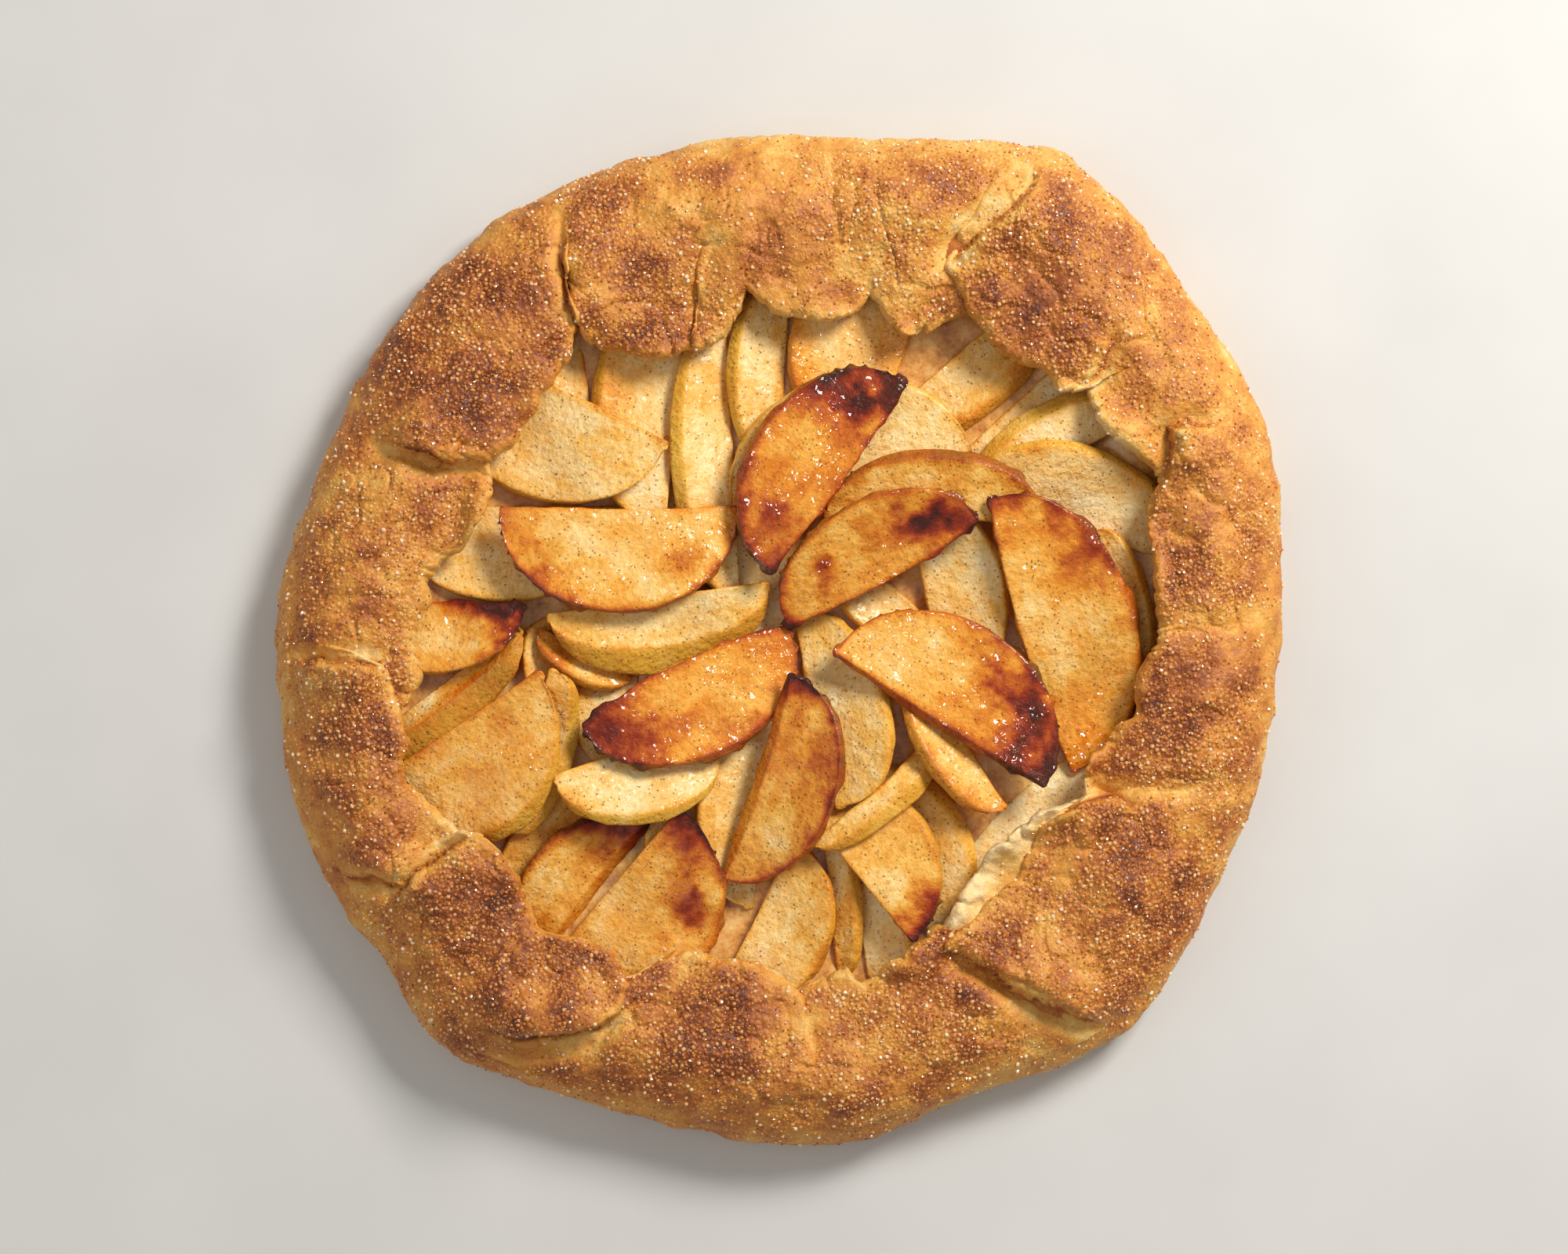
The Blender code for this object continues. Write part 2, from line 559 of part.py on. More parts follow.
def sugar_grains(crust, home):
    """Boxy crystals half sunk in the crust, spread evenly over the folds."""
    draw = random.Random(GRAIN_SEED)
    placed = []
    while len(placed) < GRAINS:
        degrees = draw.uniform(0, 360)
        inner = float(round_the_ring(OPENING_RADII, degrees)) + GRAIN_SPACING
        outer = float(rim_radius(degrees)) - GRAIN_SPACING
        radius = math.sqrt(draw.uniform(inner ** 2, outer ** 2))
        spot = Vector((radius * math.cos(math.radians(degrees)), radius * math.sin(math.radians(degrees)), 0))
        if any((spot - other).length < GRAIN_SPACING for other in placed):
            continue
        hit, place, normal, _ = crust.ray_cast(Vector((*(spot.xy * MM), 0.1)), Vector((0, 0, -1)))
        if not hit or normal.z < GRAIN_LEAST_UPRIGHT:
            continue
        placed.append(spot)
        side = draw.uniform(*GRAIN_SIDE) * MM
        turn = draw.uniform(0, math.tau)
        tilt = draw.uniform(*GRAIN_TILT)
        work = bmesh.new()
        bmesh.ops.create_cube(work, size=1.0)
        mesh = bpy.data.meshes.new("grain")
        work.to_mesh(mesh)
        work.free()
        shape = (Matrix.Translation(place + normal * side * (0.5 - GRAIN_SUNK))
                 @ Matrix.Rotation(turn, 4, "Z") @ Matrix.Rotation(tilt, 4, "X")
                 @ Matrix.Diagonal((*(side * Vector(GRAIN_PROPORTIONS)), 1)))
        mesh.transform(shape)
        home.objects.link(bpy.data.objects.new(f"grain_{len(placed)}", mesh))


def apple_bed(home, look, points=48):
    """The chopped apple under the slices, level out to the crust."""
    outline = bpy.data.curves.new("apple_bed", "CURVE")
    outline.dimensions = "2D"
    outline.fill_mode = "BOTH"
    bottom = FLOOR_THICKNESS + CLEARANCE
    outline.extrude = (BED_TOP - bottom) / 2 * MM
    spline = outline.splines.new("POLY")
    spline.use_cyclic_u = True
    spline.points.add(points - 1)
    for k, point in enumerate(spline.points):
        degrees = 360 * k / points
        radius = (float(cavity_radius(degrees)) - CAVITY_GAP) * MM
        turn = math.radians(degrees)
        point.co = (radius * math.cos(turn), radius * math.sin(turn), 0, 1)
    outline.materials.append(look)
    bed = bpy.data.objects.new("apple_bed", outline)
    bed.location.z = (BED_TOP + bottom) / 2 * MM
    home.objects.link(bed)


def centre(galette, crust):
    """Puts the middle of the crust's box over the origin."""
    points = np.array([vertex.co for vertex in crust.data.vertices])
    middle = (points.min(axis=0) + points.max(axis=0)) / 2
    for obj in galette.objects:
        obj.location -= Vector((middle[0], middle[1], 0))


def new_collection(name):
    made = bpy.data.collections.new(name)
    bpy.context.scene.collection.children.link(made)
    return made


def main():
    clear_scene()
    galette = new_collection("apple_galette")
    joining = new_collection("crust_joining")
    joining.hide_render = True
    pastry_look = material("baked_pastry", (0.68, 0.38, 0.13), 0.55)
    apple_look = material("baked_apple", (0.79, 0.52, 0.22), 0.35)
    bed_look = material("apple_bed", (0.62, 0.36, 0.12), 0.4)

    heap = HeightMap(BED_TOP)
    apple_bed(galette, bed_look)
    for number, row in enumerate(SLICES, 1):
        apple = Slice(row)
        apple.lay_down(heap)
        apple.build(f"apple_slice_{number:02d}", galette, apple_look)

    pastry = Pastry(heap)
    crust = pastry.body(galette)
    crust.data.materials.append(pastry_look)
    for row in FOLDS:
        pastry.fold(row, joining)
    unite(crust, joining)
    bpy.context.view_layer.update()
    sugar_grains(crust, joining)
    unite(crust, joining)
    for polygon in crust.data.polygons:
        polygon.material_index = 0
    crust.data.shade_smooth()
    crust.data.set_sharp_from_angle(angle=math.radians(SHARP_ANGLE))
    centre(galette, crust)


main()
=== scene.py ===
# A rustic apple galette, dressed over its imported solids. Lengths below are millimetres.
import math

import bmesh
import bpy
import numpy as np
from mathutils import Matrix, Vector


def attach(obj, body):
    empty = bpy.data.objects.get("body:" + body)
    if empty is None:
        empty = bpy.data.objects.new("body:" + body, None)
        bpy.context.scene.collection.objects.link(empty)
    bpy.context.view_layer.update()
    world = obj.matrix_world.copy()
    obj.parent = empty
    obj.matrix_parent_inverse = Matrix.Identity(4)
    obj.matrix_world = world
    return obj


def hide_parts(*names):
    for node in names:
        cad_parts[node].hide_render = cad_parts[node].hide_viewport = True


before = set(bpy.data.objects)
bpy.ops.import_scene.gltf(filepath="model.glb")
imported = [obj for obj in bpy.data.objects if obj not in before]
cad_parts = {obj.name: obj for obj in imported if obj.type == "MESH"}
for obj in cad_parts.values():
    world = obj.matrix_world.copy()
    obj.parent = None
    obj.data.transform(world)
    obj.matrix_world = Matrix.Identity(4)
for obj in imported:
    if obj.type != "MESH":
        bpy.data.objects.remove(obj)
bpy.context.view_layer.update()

mm = 0.001

crust = {
    "rimRadii": [129, 131.2, 135.8, 137.3, 138.3, 142, 145.2, 137.5, 131.5, 130.3, 130.1, 129.8,
                 130.2, 129.8, 128.5, 126.2, 126.2, 127.8, 129.3, 129.5, 131, 131.1, 131, 135.4,
                 131, 128, 127.5, 129.6, 129.8, 126.9, 129.2, 133.7, 132, 129.1, 129, 128.5],
    "openingRadii": [96, 97, 105, 96, 95, 87, 86, 78, 91, 87, 85, 88,
                     92, 99, 95, 91, 91, 82, 86, 89, 84, 80, 83, 92],
    "rimHeight": 24.0,
    "widestHeight": 6.5,
    "rounding": 22.0,
    "settling": 4.0,
    "foldThickness": 4.2,
    "foldReach": 12.0,  # how far the filling runs in under the folds
    "floorThickness": 3.5,
    "bedTop": 8.0,
    "clearance": 0.35,
    "lap": 1.2,
    "ripple": 1.1,
    "drapeReach": 11.0,
    "drapeSoftness": 4.5,
    "step": 0.6,  # mesh size over the folds
    "shoulder": 4.6,
    "lipRounding": 2.4,
    "sideRounding": 2.6,
    "sideRamp": 12.0,  # how wide a side is where it melts into its neighbour
    "flare": 3.5,  # how many degrees a side runs in under its neighbour at the rim
    "puff": 1.2,
    "seed": 11,
    "fewestRows": 14,
    "lipRows": [0, 0.06, 0.22, 0.5, 0.9, 1.4, 1.9],  # rows close together round the lip
    "evenRowsFrom": 2.4,
    "mostDrop": 2.6,
    "sideDrop": 2.4,
    "proudReach": 26,
    "crackEvery": 5,
    "wallSteps": 22,
    "wallThickness": 3.2,
    "lowestInside": 0.6,
    "footRadius": 3.4,
    "footRunIn": 2.6,
    "footTurns": [10, 20, 32, 46, 60, 74, 84, 90],
    # unevenness: how much, how broad, seed
    "wallLumps": [(0.7, 9, 88), (0.35, 4, 89)],
    "lumps": [(1.1, 17, 86), (0.75, 7.5, 87)],
    "wrinkleBend": [(3, 12, 83)],
    "creaseBend": [(1.3, 7, 81)],
    "pleatBend": [(0.9, 6, 91), (0.35, 2.2, 93)],
    "foldBend": [(1.6, 11, 21), (0.6, 4.5, 23)],
    "clouds": [(0.6, 15, 41), (0.5, 6, 42)],
    "bakeClouds": [(0.13, 8, 43), (0.10, 3.2, 44)],
    "crumb": [(0.34, 4.6, 61), (0.26, 2.3, 62)],
}
lining = {"tuckedIn": 1.2, "bunching": 0.8, "bunches": [(1, 3.4, 97), (0.6, 1.7, 98)], "reach": 12}

heapCell = 1.0  # a map of the heap of apples: size of a cell, and cells each way
heapHalf = 125


def softNoise(x, y, z, size, seed=0):  # smooth value noise between -1 and 1
    total = 0.0
    places = [np.asarray(v, float) / size for v in np.broadcast_arrays(x, y, z)]
    cells = [np.floor(v).astype(np.int64) for v in places]
    blend = [(v - c) ** 2 * (3 - 2 * (v - c)) for v, c in zip(places, cells)]
    for corner in range(8):
        bits = [corner & 1, corner >> 1 & 1, corner >> 2 & 1]
        mixed = (cells[0] + bits[0]) * 73856093 ^ (cells[1] + bits[1]) * 19349663
        mixed = mixed ^ (cells[2] + bits[2]) * 83492791 ^ (seed + 1) * 26544357
        mixed = (mixed ^ (mixed >> 13)) * 1274126177 & 0x7fffffff
        mixed = (mixed ^ (mixed >> 15)) * 668265263 & 0x7fffffff
        weight = 1.0
        for bit, share in zip(bits, blend):
            weight = weight * (share if bit else 1 - share)
        total = total + (mixed / 0x3fffffff - 1) * weight
    return total


def layers(x, y, z, rows, start=0.0, seed=0):  # adds noise of several sizes to the start
    return sum((much * softNoise(x, y, z, size, seed + own) for much, size, own in rows), start)


def wander(x, y, rows):  # moves a place a little, so that a route through it bends
    return layers(x, y, 0, rows, x), layers(x, y, 0, rows, y, 1)


def bell(away, reach=1.0):
    return np.exp(-(away / reach) ** 2)


def curveThrough(before, here, after, last, share):  # smooth curve from here to after
    return 0.5 * (2 * here + (after - before) * share
                  + (2 * before - 5 * here + 4 * after - last) * share ** 2
                  + (3 * (here - after) + last - before) * share ** 3)


def roundTheRing(radii, degrees):  # smooth closed outline through radii at even angles
    table = np.asarray(radii, float)
    place = np.asarray(degrees, float) * len(table) / 360
    first = np.floor(place).astype(int)
    share = place - first
    return curveThrough(*(table[(first + k) % len(table)] for k in (-1, 0, 1, 2)), share)


def rimRadius(degrees):
    return roundTheRing(crust["rimRadii"], degrees)


def cavityRadius(degrees):
    return roundTheRing(crust["openingRadii"], degrees) + crust["foldReach"]


def degreesOf(x, y):
    return np.degrees(np.arctan2(y, x))


def crustMiddle():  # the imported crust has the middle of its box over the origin
    degrees = np.arange(0, 360, 5)
    radius = rimRadius(degrees)
    x, y = radius * np.cos(np.radians(degrees)), radius * np.sin(np.radians(degrees))
    return np.array([(x.min() + x.max()) / 2, (y.min() + y.max()) / 2])


middle = crustMiddle()


def sampleMap(values, x, y):  # bilinear look-up in a map of the whole galette
    i = np.clip(np.asarray(x) / heapCell + heapHalf, 0, 2 * heapHalf - 1e-6)
    j = np.clip(np.asarray(y) / heapCell + heapHalf, 0, 2 * heapHalf - 1e-6)
    i0, j0 = i.astype(int), j.astype(int)
    a, b = i - i0, j - j0
    return ((1 - a) * (1 - b) * values[i0, j0] + a * (1 - b) * values[i0 + 1, j0]
            + (1 - a) * b * values[i0, j0 + 1] + a * b * values[i0 + 1, j0 + 1])


def overDisc(values, reach, join):  # joins the values within reach of each cell
    cells = int(math.ceil(reach / heapCell))
    made, count = values.copy(), 1
    for i in range(-cells, cells + 1):
        for j in range(-cells, cells + 1):
            if (i or j) and math.hypot(i, j) * heapCell <= reach:
                made = join(made, np.roll(values, (i, j), axis=(0, 1)))
                count += 1
    return made / count if join is np.add else made


def meshPiece(name, points, faces, material, marks=()):
    mesh = bpy.data.meshes.new(name)
    points = np.asarray(points, float).reshape(-1, 3) - (middle[0], middle[1], 0)
    mesh.from_pydata(points * mm, [], faces)
    for label, values in dict(marks).items():
        layer = mesh.attributes.new(label, "FLOAT", "POINT")
        layer.data.foreach_set("value", np.ascontiguousarray(values, np.float32).ravel())
    mesh.materials.append(material)
    mesh.shade_smooth()
    piece = bpy.data.objects.new(name, mesh)
    bpy.context.scene.collection.objects.link(piece)
    return piece


def normalsOf(mesh):
    found = np.empty(len(mesh.vertices) * 3)
    mesh.vertex_normals.foreach_get("vector", found)
    return found.reshape(-1, 3)


def pointsOf(mesh):
    found = np.empty(len(mesh.vertices) * 3)
    mesh.vertices.foreach_get("co", found)
    return found.reshape(-1, 3)


def shiftPoints(mesh, points):
    mesh.vertices.foreach_set("co", np.ascontiguousarray(points, np.float32).ravel())
    mesh.update()


def tubeFaces(rings, sides, start=0):  # quads between closed rings
    faces = []
    for k in range(rings - 1):
        for i in range(sides):
            a, b = start + k * sides + i, start + k * sides + (i + 1) % sides
            faces.append((a, a + sides, b + sides, b))
    return faces


apples = {
    # What a slice is unless its row says otherwise: bow bends its core side and skew its round
    # side, band and heel are how wide its two edges slope, full is how square it is, tip its
    # width at the tips and ends how much of it is kept. tone is how golden the flesh is, then
    # come how dark and how wide each edge and each tip is, how yellow the peel side is and how
    # wet. A spot is its place along and across the slice, its reach and how much darker it is.
    "usual": dict(bow=0.0, band=0.8, heel=0.0, thick=4.8, full=0.5, skew=0.0, tip=2.6, ends=(-1.0, 1.0),
                  tone=0.12, peel=(0.18, 0.7), core=(0.14, 0.5), first=(0.08, 4), last=(0.08, 4),
                  yellow=0.5, wet=0.35, spots=()),
    "coreThickness": 1.9,
    "thinning": 0.4,
    "dip": 0.45,
    "crest": 0.42,
    "widestBand": 0.6,
    "widestHeel": 0.3,
    "cavityGap": 1.2,
    "stations": 90,
    "tipRounding": 0.7,
    "sagReach": 8.0,
    "mostSag": 3.2,
    "columns": 60,  # places across a slice where its room is tried
    "fewestColumns": 6,
    "evenness": 0.35,
    "cornerRounding": (0.5, 0.8, 2.2, 0.9, 0.5),
    "cornerSteps": (3, 3, 5, 5, 4),
    "sideSteps": (5, 1, 4, 36, 3),
    "endTurns": (24, 48, 68, 84),
    # unevenness: how much, how broad, seed
    "clouds": [(0.08, 13, 0), (0.06, 5, 9)],
    "ragged": [(0.45, 5.0, 0), (0.25, 1.8, 50)],
    "swell": [(0.45, 9, 0), (0.27, 3.6, 3)],
    "fibreBend": [(2.0, 14, 6)],
    "fibreShare": 0.05,
    "mostToast": 0.66,
    "stains": 3,
    "grooveDepth": 1.1,
    "wettedDepth": 0.42,
}


def laid(start, end, width, **own):  # a slice by its two tips, its width and what is its own
    return dict(tips=(start, end), width=width, **own)


slices = [
    laid((41.4, 3.8), (18.4, 23.8), 14),
    laid((3.4, -2.2), (1.4, 43.8), 18, tone=0.05),
    laid((-45.6, 47.8), (-51.6, 79.8), 10, tone=0.15),
    laid((-26.6, 19.8), (-24.2, 51.8), 12, tone=0.15),
    laid((-38.6, -34.2), (-35.6, -4.2), 16, tone=0.12),
    laid((-68.6, -66.2), (-38.6, -38.2), 14, tone=0.24),
    laid((-15.6, -66.2), (-20.6, -34.2), 17, tone=0.16),
    laid((-55.6, -17.2), (-58.6, 5.8), 9, thick=5.8, tone=0.16, wet=0.8),
    laid((-38.6, -8.2), (-60.6, 3.8), 9, band=2, tone=0.22, wet=0.9),
    laid((76.4, 75.8), (42.4, 43.8), 13, tone=0.12),
    laid((76.4, -28.2), (40.4, -66.2), 17, bow=-3.5, tone=0.10, yellow=0.7),
    laid((11.4, -36.2), (40.4, -77.2), 25, band=3, tone=0.16, yellow=0.7),
    laid((17.4, -50.2), (23.4, -90.2), 14, tone=0.12),
    laid((11.4, -48.2), (15.0, -85.8), 8.5, band=2.5, tone=0.12),
    laid((-28.6, 30.8), (-22.6, 93.8), 22.5, full=0.36, band=2.4, tone=0.13, yellow=0.8, peel=(0.2, 1.6)),
    laid((-9.6, 11.8), (-13.6, 83.8), 16.5, band=3.6, tone=0.10, yellow=0.9, peel=(0.2, 1.4)),
    laid((0.4, 45.8), (3.2, 93.8), 15.5, band=2.8, tone=0.10, yellow=0.8),
    laid((24, 49.8), (39.4, 95.8), 30, full=0.36, band=1.8, tone=0.14, wet=0.8, peel=(0.25, 2)),
    laid((66.4, 91.8), (26.4, 56.8), 17.5, band=2.2, tone=0.18, yellow=0.8, peel=(0.25, 1.8)),
    laid((51.4, 33.8), (92.4, 57.8), 16, band=3.6, tone=0.10, yellow=0.9),
    laid((45.4, 32.8), (103.4, 20.8), 24.5, band=2.4, skew=-0.2, tone=0.08, yellow=0.9, peel=(0.2, 1.2),
         wet=0.6),
    laid((78.4, 27.8), (88.4, -8.2), 12.5, full=0.36, band=2, tone=0.14),
    laid((-42.6, 34.8), (-97.6, 34.8), 25, full=0.4, tone=0.14),
    laid((-67.6, 3.8), (-107.6, -27.2), 12.5, band=7.5, thick=6.6, tone=0.12, yellow=1.0, peel=(0.34, 0.9),
         wet=0.9),
    laid((-65, 10.2), (-112.6, 9.4), 18.5, full=0.6, ends=(-1, 0.5), tone=0.24, first=(0.6, 3), peel=(0.14,
         0.8), core=(0.36, 1.2), wet=0.7, spots=[(0.1, 0.15, 5, 0.4), (0.22, 0.06, 4, 0.36), (0.34, 0.04, 4,
         0.2)]),
    laid((-58.6, -7.2), (-70.6, -48.2), 12.5, full=0.4, band=3, tone=0.18, yellow=0.8, wet=0.6),
    laid((-6.6, -68.2), (2.4, -12.2), 19, tone=0.14),
    laid((3.8, -51.8), (-17.6, -93.2), 21, band=1.5, tone=0.20),
    laid((4.4, -40.2), (33.8, -76.6), 22.5, band=1.2, full=0.55, tone=0.20, last=(0.6, 5), yellow=0.9,
         peel=(0.18, 1.6), spots=[(0.85, 0.6, 5, 0.15)]),
    laid((40.4, -22.2), (8.4, -50.4), 10, band=3.4, bow=1.5, tone=0.16, yellow=0.8),
    laid((58, -41.8), (36, -6.2), 12.5, band=2.4, tone=0.24, peel=(0.22, 1.2)),
    laid((3.4, 6.8), (14.4, -42.2), 20, full=0.4, band=2, skew=0.25, tone=0.13, yellow=0.7),
    laid((32.4, 35.8), (43.4, -14.2), 21.5, band=1.5, tone=0.14),
    laid((-11.6, 33.8), (50.4, 43.8), 30, band=1.5, tone=0.14, peel=(0.12, 2)),
    laid((12.4, 30.8), (66.4, 30.8), 18.5, band=2.4, tone=0.17, peel=(0.38, 0.9), last=(0.15, 8),
         spots=[(0.6, 0.8, 7, 0.1)]),
    laid((-28.2, 51.2), (-85.6, 76.6), 28, full=0.48, bow=-0.8, tone=0.13, core=(0.24, 0.7), yellow=0.6,
         wet=0.4),
    laid((-60.6, -83.2), (-32.6, -46.2), 19, full=0.62, skew=-0.25, heel=2.5, tone=0.20, last=(0.5, 5),
         peel=(0.36, 0.9), first=(0.1, 5), wet=0.4, spots=[(0.85, 0.75, 6, 0.3)]),
    laid((-25.2, -42), (-60, -83), 30.5, full=0.56, tone=0.22, first=(0.6, 5), peel=(0.3, 0.8), wet=0.6,
         spots=[(0.1, 0.3, 5, 0.3), (0.22, 0.5, 4, 0.25), (0.36, 0.62, 5, 0.38), (0.42, 0.72, 3, 0.25)]),
    laid((-61.4, -7.8), (-107.6, -38.2), 31.5, band=3.5, ends=(-1, 0.55), tone=0.19, yellow=0.8, core=(0.2,
         1.4), wet=0.7, spots=[(0.3, 0.2, 4, 0.16), (0.5, 0.5, 9, 0.08)]),
    laid((-3, 15.4), (-58.6, 7.4), 20, band=7, thick=5.8, tone=0.17, yellow=0.8),
    laid((-15.6, -28.4), (-56.6, -33.8), 16, bow=-3, band=3, tone=0.08, yellow=0.9),
    laid((53.4, 36.2), (75, -33.2), 28, bow=-2.2, thick=5.6, tone=0.22, peel=(0.34, 1.2), last=(0.06, 25),
         first=(0.2, 5), core=(0.18, 0.6), wet=0.9, spots=[(0.28, 0.78, 6.5, 0.30), (0.2, 0.7, 12, 0.08),
         (0.5, 0.3, 9, -0.06)]),
    laid((-10.8, 34.6), (-70.6, 34.6), 27.8, bow=0.6, full=0.55, tip=5, tone=0.10, peel=(0.46, 1.0),
         core=(0.22, 0.5), first=(0.25, 3), last=(0.25, 4), wet=1.0, spots=[(0.77, 0.62, 6, 0.25), (0.2,
         0.62, 6, 0.25), (0.45, 0.85, 9, 0.15), (0.8, 0.9, 8, 0.15)]),
    laid((1.8, 4.4), (-49.8, -20.6), 23, bow=-3, skew=-0.15, tip=4, tone=0.27, last=(0.34, 10), peel=(0.34,
         0.8), core=(0.26, 0.8), wet=1.0, spots=[(0.78, 0.6, 8, 0.22), (0.9, 0.3, 5, 0.2), (0.4, 0.85, 8,
         0.14)]),
    laid((2.2, -8.2), (-14.6, -60.2), 22, heel=2.5, tone=0.27, peel=(0.56, 1.2), first=(0.5, 4), wet=0.5,
         last=(0.05, 5), spots=[(0.3, 0.85, 9, 0.15)]),
    laid((14.6, -3.4), (67, -37), 27.2, bow=-1.6, heel=1.6, tone=0.21, last=(0.55, 6), peel=(0.32, 0.9),
         core=(0.3, 0.8), wet=1.0, spots=[(0.74, 0.85, 7, 0.36), (0.84, 0.62, 6, 0.36), (0.64, 0.55, 7,
         0.18), (0.5, 0.95, 7, 0.14), (0.6, 0.05, 8, 0.14), (0.8, 0.2, 8, 0.18)]),
    laid((2.6, 3.8), (50.8, 30.2), 20, bow=-2, tone=0.22, first=(0.4, 3), peel=(0.36, 0.8), core=(0.3, 0.6),
         last=(0.2, 6), wet=1.0, spots=[(0.25, 0.42, 3, 0.34), (0.29, 0.62, 2.5, 0.26), (0.2, 0.22, 2.5,
         0.2), (0.56, 0.6, 4, 0.26), (0.66, 0.52, 4, 0.38), (0.78, 0.45, 4, 0.42), (0.9, 0.35, 4, 0.38),
         (0.8, 0.8, 6, 0.14)]),
    laid((-1.6, 18.2), (31.8, 65.8), 23.5, bow=-1.8, tone=0.29, last=(0.3, 6), first=(0.26, 4), peel=(0.38,
         1.7), core=(0.28, 0.7), wet=1.0, spots=[(0.82, 0.6, 7, 0.36), (0.8, 0.25, 6, 0.32), (0.93, 0.3, 5,
         0.3), (0.22, 0.42, 5, 0.28), (0.3, 0.75, 6, 0.14)]),
]


def lowerPlane(node):  # the flat face that a packed slice lies on: a point of it and its slopes
    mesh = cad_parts[node].data
    total, place, area = np.zeros(3), np.zeros(3), 0.0
    for face in mesh.polygons:
        if face.normal.z < -0.9:
            total += np.array(face.normal) * face.area
            place += np.array(face.center) * face.area
            area += face.area
    at = place / area / mm + (middle[0], middle[1], 0)
    return at, -total[0] / total[2], -total[1] / total[2]


class AppleSlice:
    def __init__(self, row, node):
        self.node = node
        self.form = {**apples["usual"], **row}
        self.start, end = (np.array(tip, float) for tip in self.form["tips"])
        self.length = np.linalg.norm(end - self.start)
        self.along = (end - self.start) / self.length
        self.left = np.array([-self.along[1], self.along[0]])
        self.at, self.slopeX, self.slopeY = lowerPlane(node)
        self.sag = None

    def coreSide(self, u):
        return self.form["bow"] * (1 - u * u)

    def peelSide(self, u):
        shifted = np.clip(u - self.form["skew"] * (1 - u * u) * 0.5, -1, 1)
        roundShare = np.maximum(1 - shifted ** 2, 0) ** self.form["full"]
        return self.form["tip"] + (self.form["width"] - self.form["tip"]) * roundShare

    def thickness(self, u, across):
        taper = 1 - apples["thinning"] * np.abs(u) ** 3
        grow = (self.form["thick"] - apples["coreThickness"]) * across / self.form["width"]
        return (apples["coreThickness"] + grow) * taper

    def plan(self, u, across):
        along = (np.asarray(u) + 1) / 2 * self.length
        return (self.start[0] + along * self.along[0] + across * self.left[0],
                self.start[1] + along * self.along[1] + across * self.left[1])

    def local(self, x, y):
        dx, dy = x - self.start[0], y - self.start[1]
        return (2 * (dx * self.along[0] + dy * self.along[1]) / self.length - 1,
                dx * self.left[0] + dy * self.left[1])

    def underside(self, x, y):
        return self.at[2] + self.slopeX * (x - self.at[0]) + self.slopeY * (y - self.at[1])

    def hasRoom(self, x, y):
        return np.hypot(x, y) < cavityRadius(degreesOf(x, y)) - apples["cavityGap"]

    def layDown(self, heap, x, y):  # sags into the gap under it, then joins the heap
        u, across = self.local(x, y)
        held = np.clip(u, -1, 1)
        inside = (u >= self.form["ends"][0]) & (u <= self.form["ends"][1]) & self.hasRoom(x, y)
        inside &= (across >= self.coreSide(held)) & (across <= self.peelSide(held))
        gap = np.where(inside, self.underside(x, y) - heap - crust["clearance"], apples["mostSag"])
        low = overDisc(np.clip(gap, 0, apples["mostSag"]), apples["sagReach"], np.minimum)
        self.sag = overDisc(low, apples["sagReach"] * 0.75, np.add)
        top = self.underside(x, y) + self.thickness(held, across) - self.sag
        return np.where(inside, np.maximum(heap, top), heap)

    def section(self, u):  # rounded outline of each station, as across and up, with its top span
        core, peel = self.coreSide(u), self.peelSide(u)
        steps = core[:, None] + (peel - core)[:, None] * np.linspace(0, 1, apples["columns"])
        room = self.hasRoom(*self.plan(u[:, None], steps))
        kept = room[:, 0] & (room.sum(1) >= apples["fewestColumns"])
        last = apples["columns"] - 1 - np.argmax(room[:, ::-1], axis=1)
        peel = np.take_along_axis(steps, last[:, None], 1)[:, 0]
        u, core, peel = u[kept], core[kept], peel[kept]
        share = np.sqrt(np.maximum(1 - u * u, 0))
        width = peel - core
        inset = width / 12
        peelTop = peel - np.minimum(self.form["band"] * share, apples["widestBand"] * width)
        coreTop = core + np.minimum(self.form["heel"] * share, apples["widestHeel"] * width)
        corners = np.stack([
            np.stack([core, 0 * u], 1),
            np.stack([peel - inset, 0 * u], 1),
            np.stack([peel, apples["crest"] * self.thickness(u, peel)], 1),
            np.stack([peelTop, self.thickness(u, peelTop)], 1),
            np.stack([coreTop, self.thickness(u, coreTop)], 1),
        ], 1)
        ahead = np.roll(corners, -1, axis=1) - corners
        span = np.maximum(np.linalg.norm(ahead, axis=2, keepdims=True), 1e-6)
        rounding = np.array(apples["cornerRounding"])[None, :, None]
        cut = np.minimum(rounding, 0.45 * np.minimum(span, np.roll(span, 1, axis=1)))
        leave = corners + ahead / span * cut
        arrive = corners - np.roll(ahead / span, 1, axis=1) * cut
        ring = []
        for k, (cornerSteps, sideSteps) in enumerate(zip(apples["cornerSteps"], apples["sideSteps"])):
            for q in np.linspace(0, 1, cornerSteps):
                ring.append((1 - q) ** 2 * arrive[:, k] + 2 * q * (1 - q) * corners[:, k]
                            + q * q * leave[:, k])
            for q in np.linspace(0, 1, sideSteps + 2)[1:-1]:
                point = leave[:, k] + (arrive[:, (k + 1) % 5] - leave[:, k]) * q
                if k == 3:  # the cut face is a little hollow
                    point[:, 1] -= apples["dip"] * np.minimum(inset, 1) * 4 * q * (1 - q)
                ring.append(point)
        ring = np.stack(ring, 1)
        return u, ring[..., 0], ring[..., 1], coreTop, peelTop

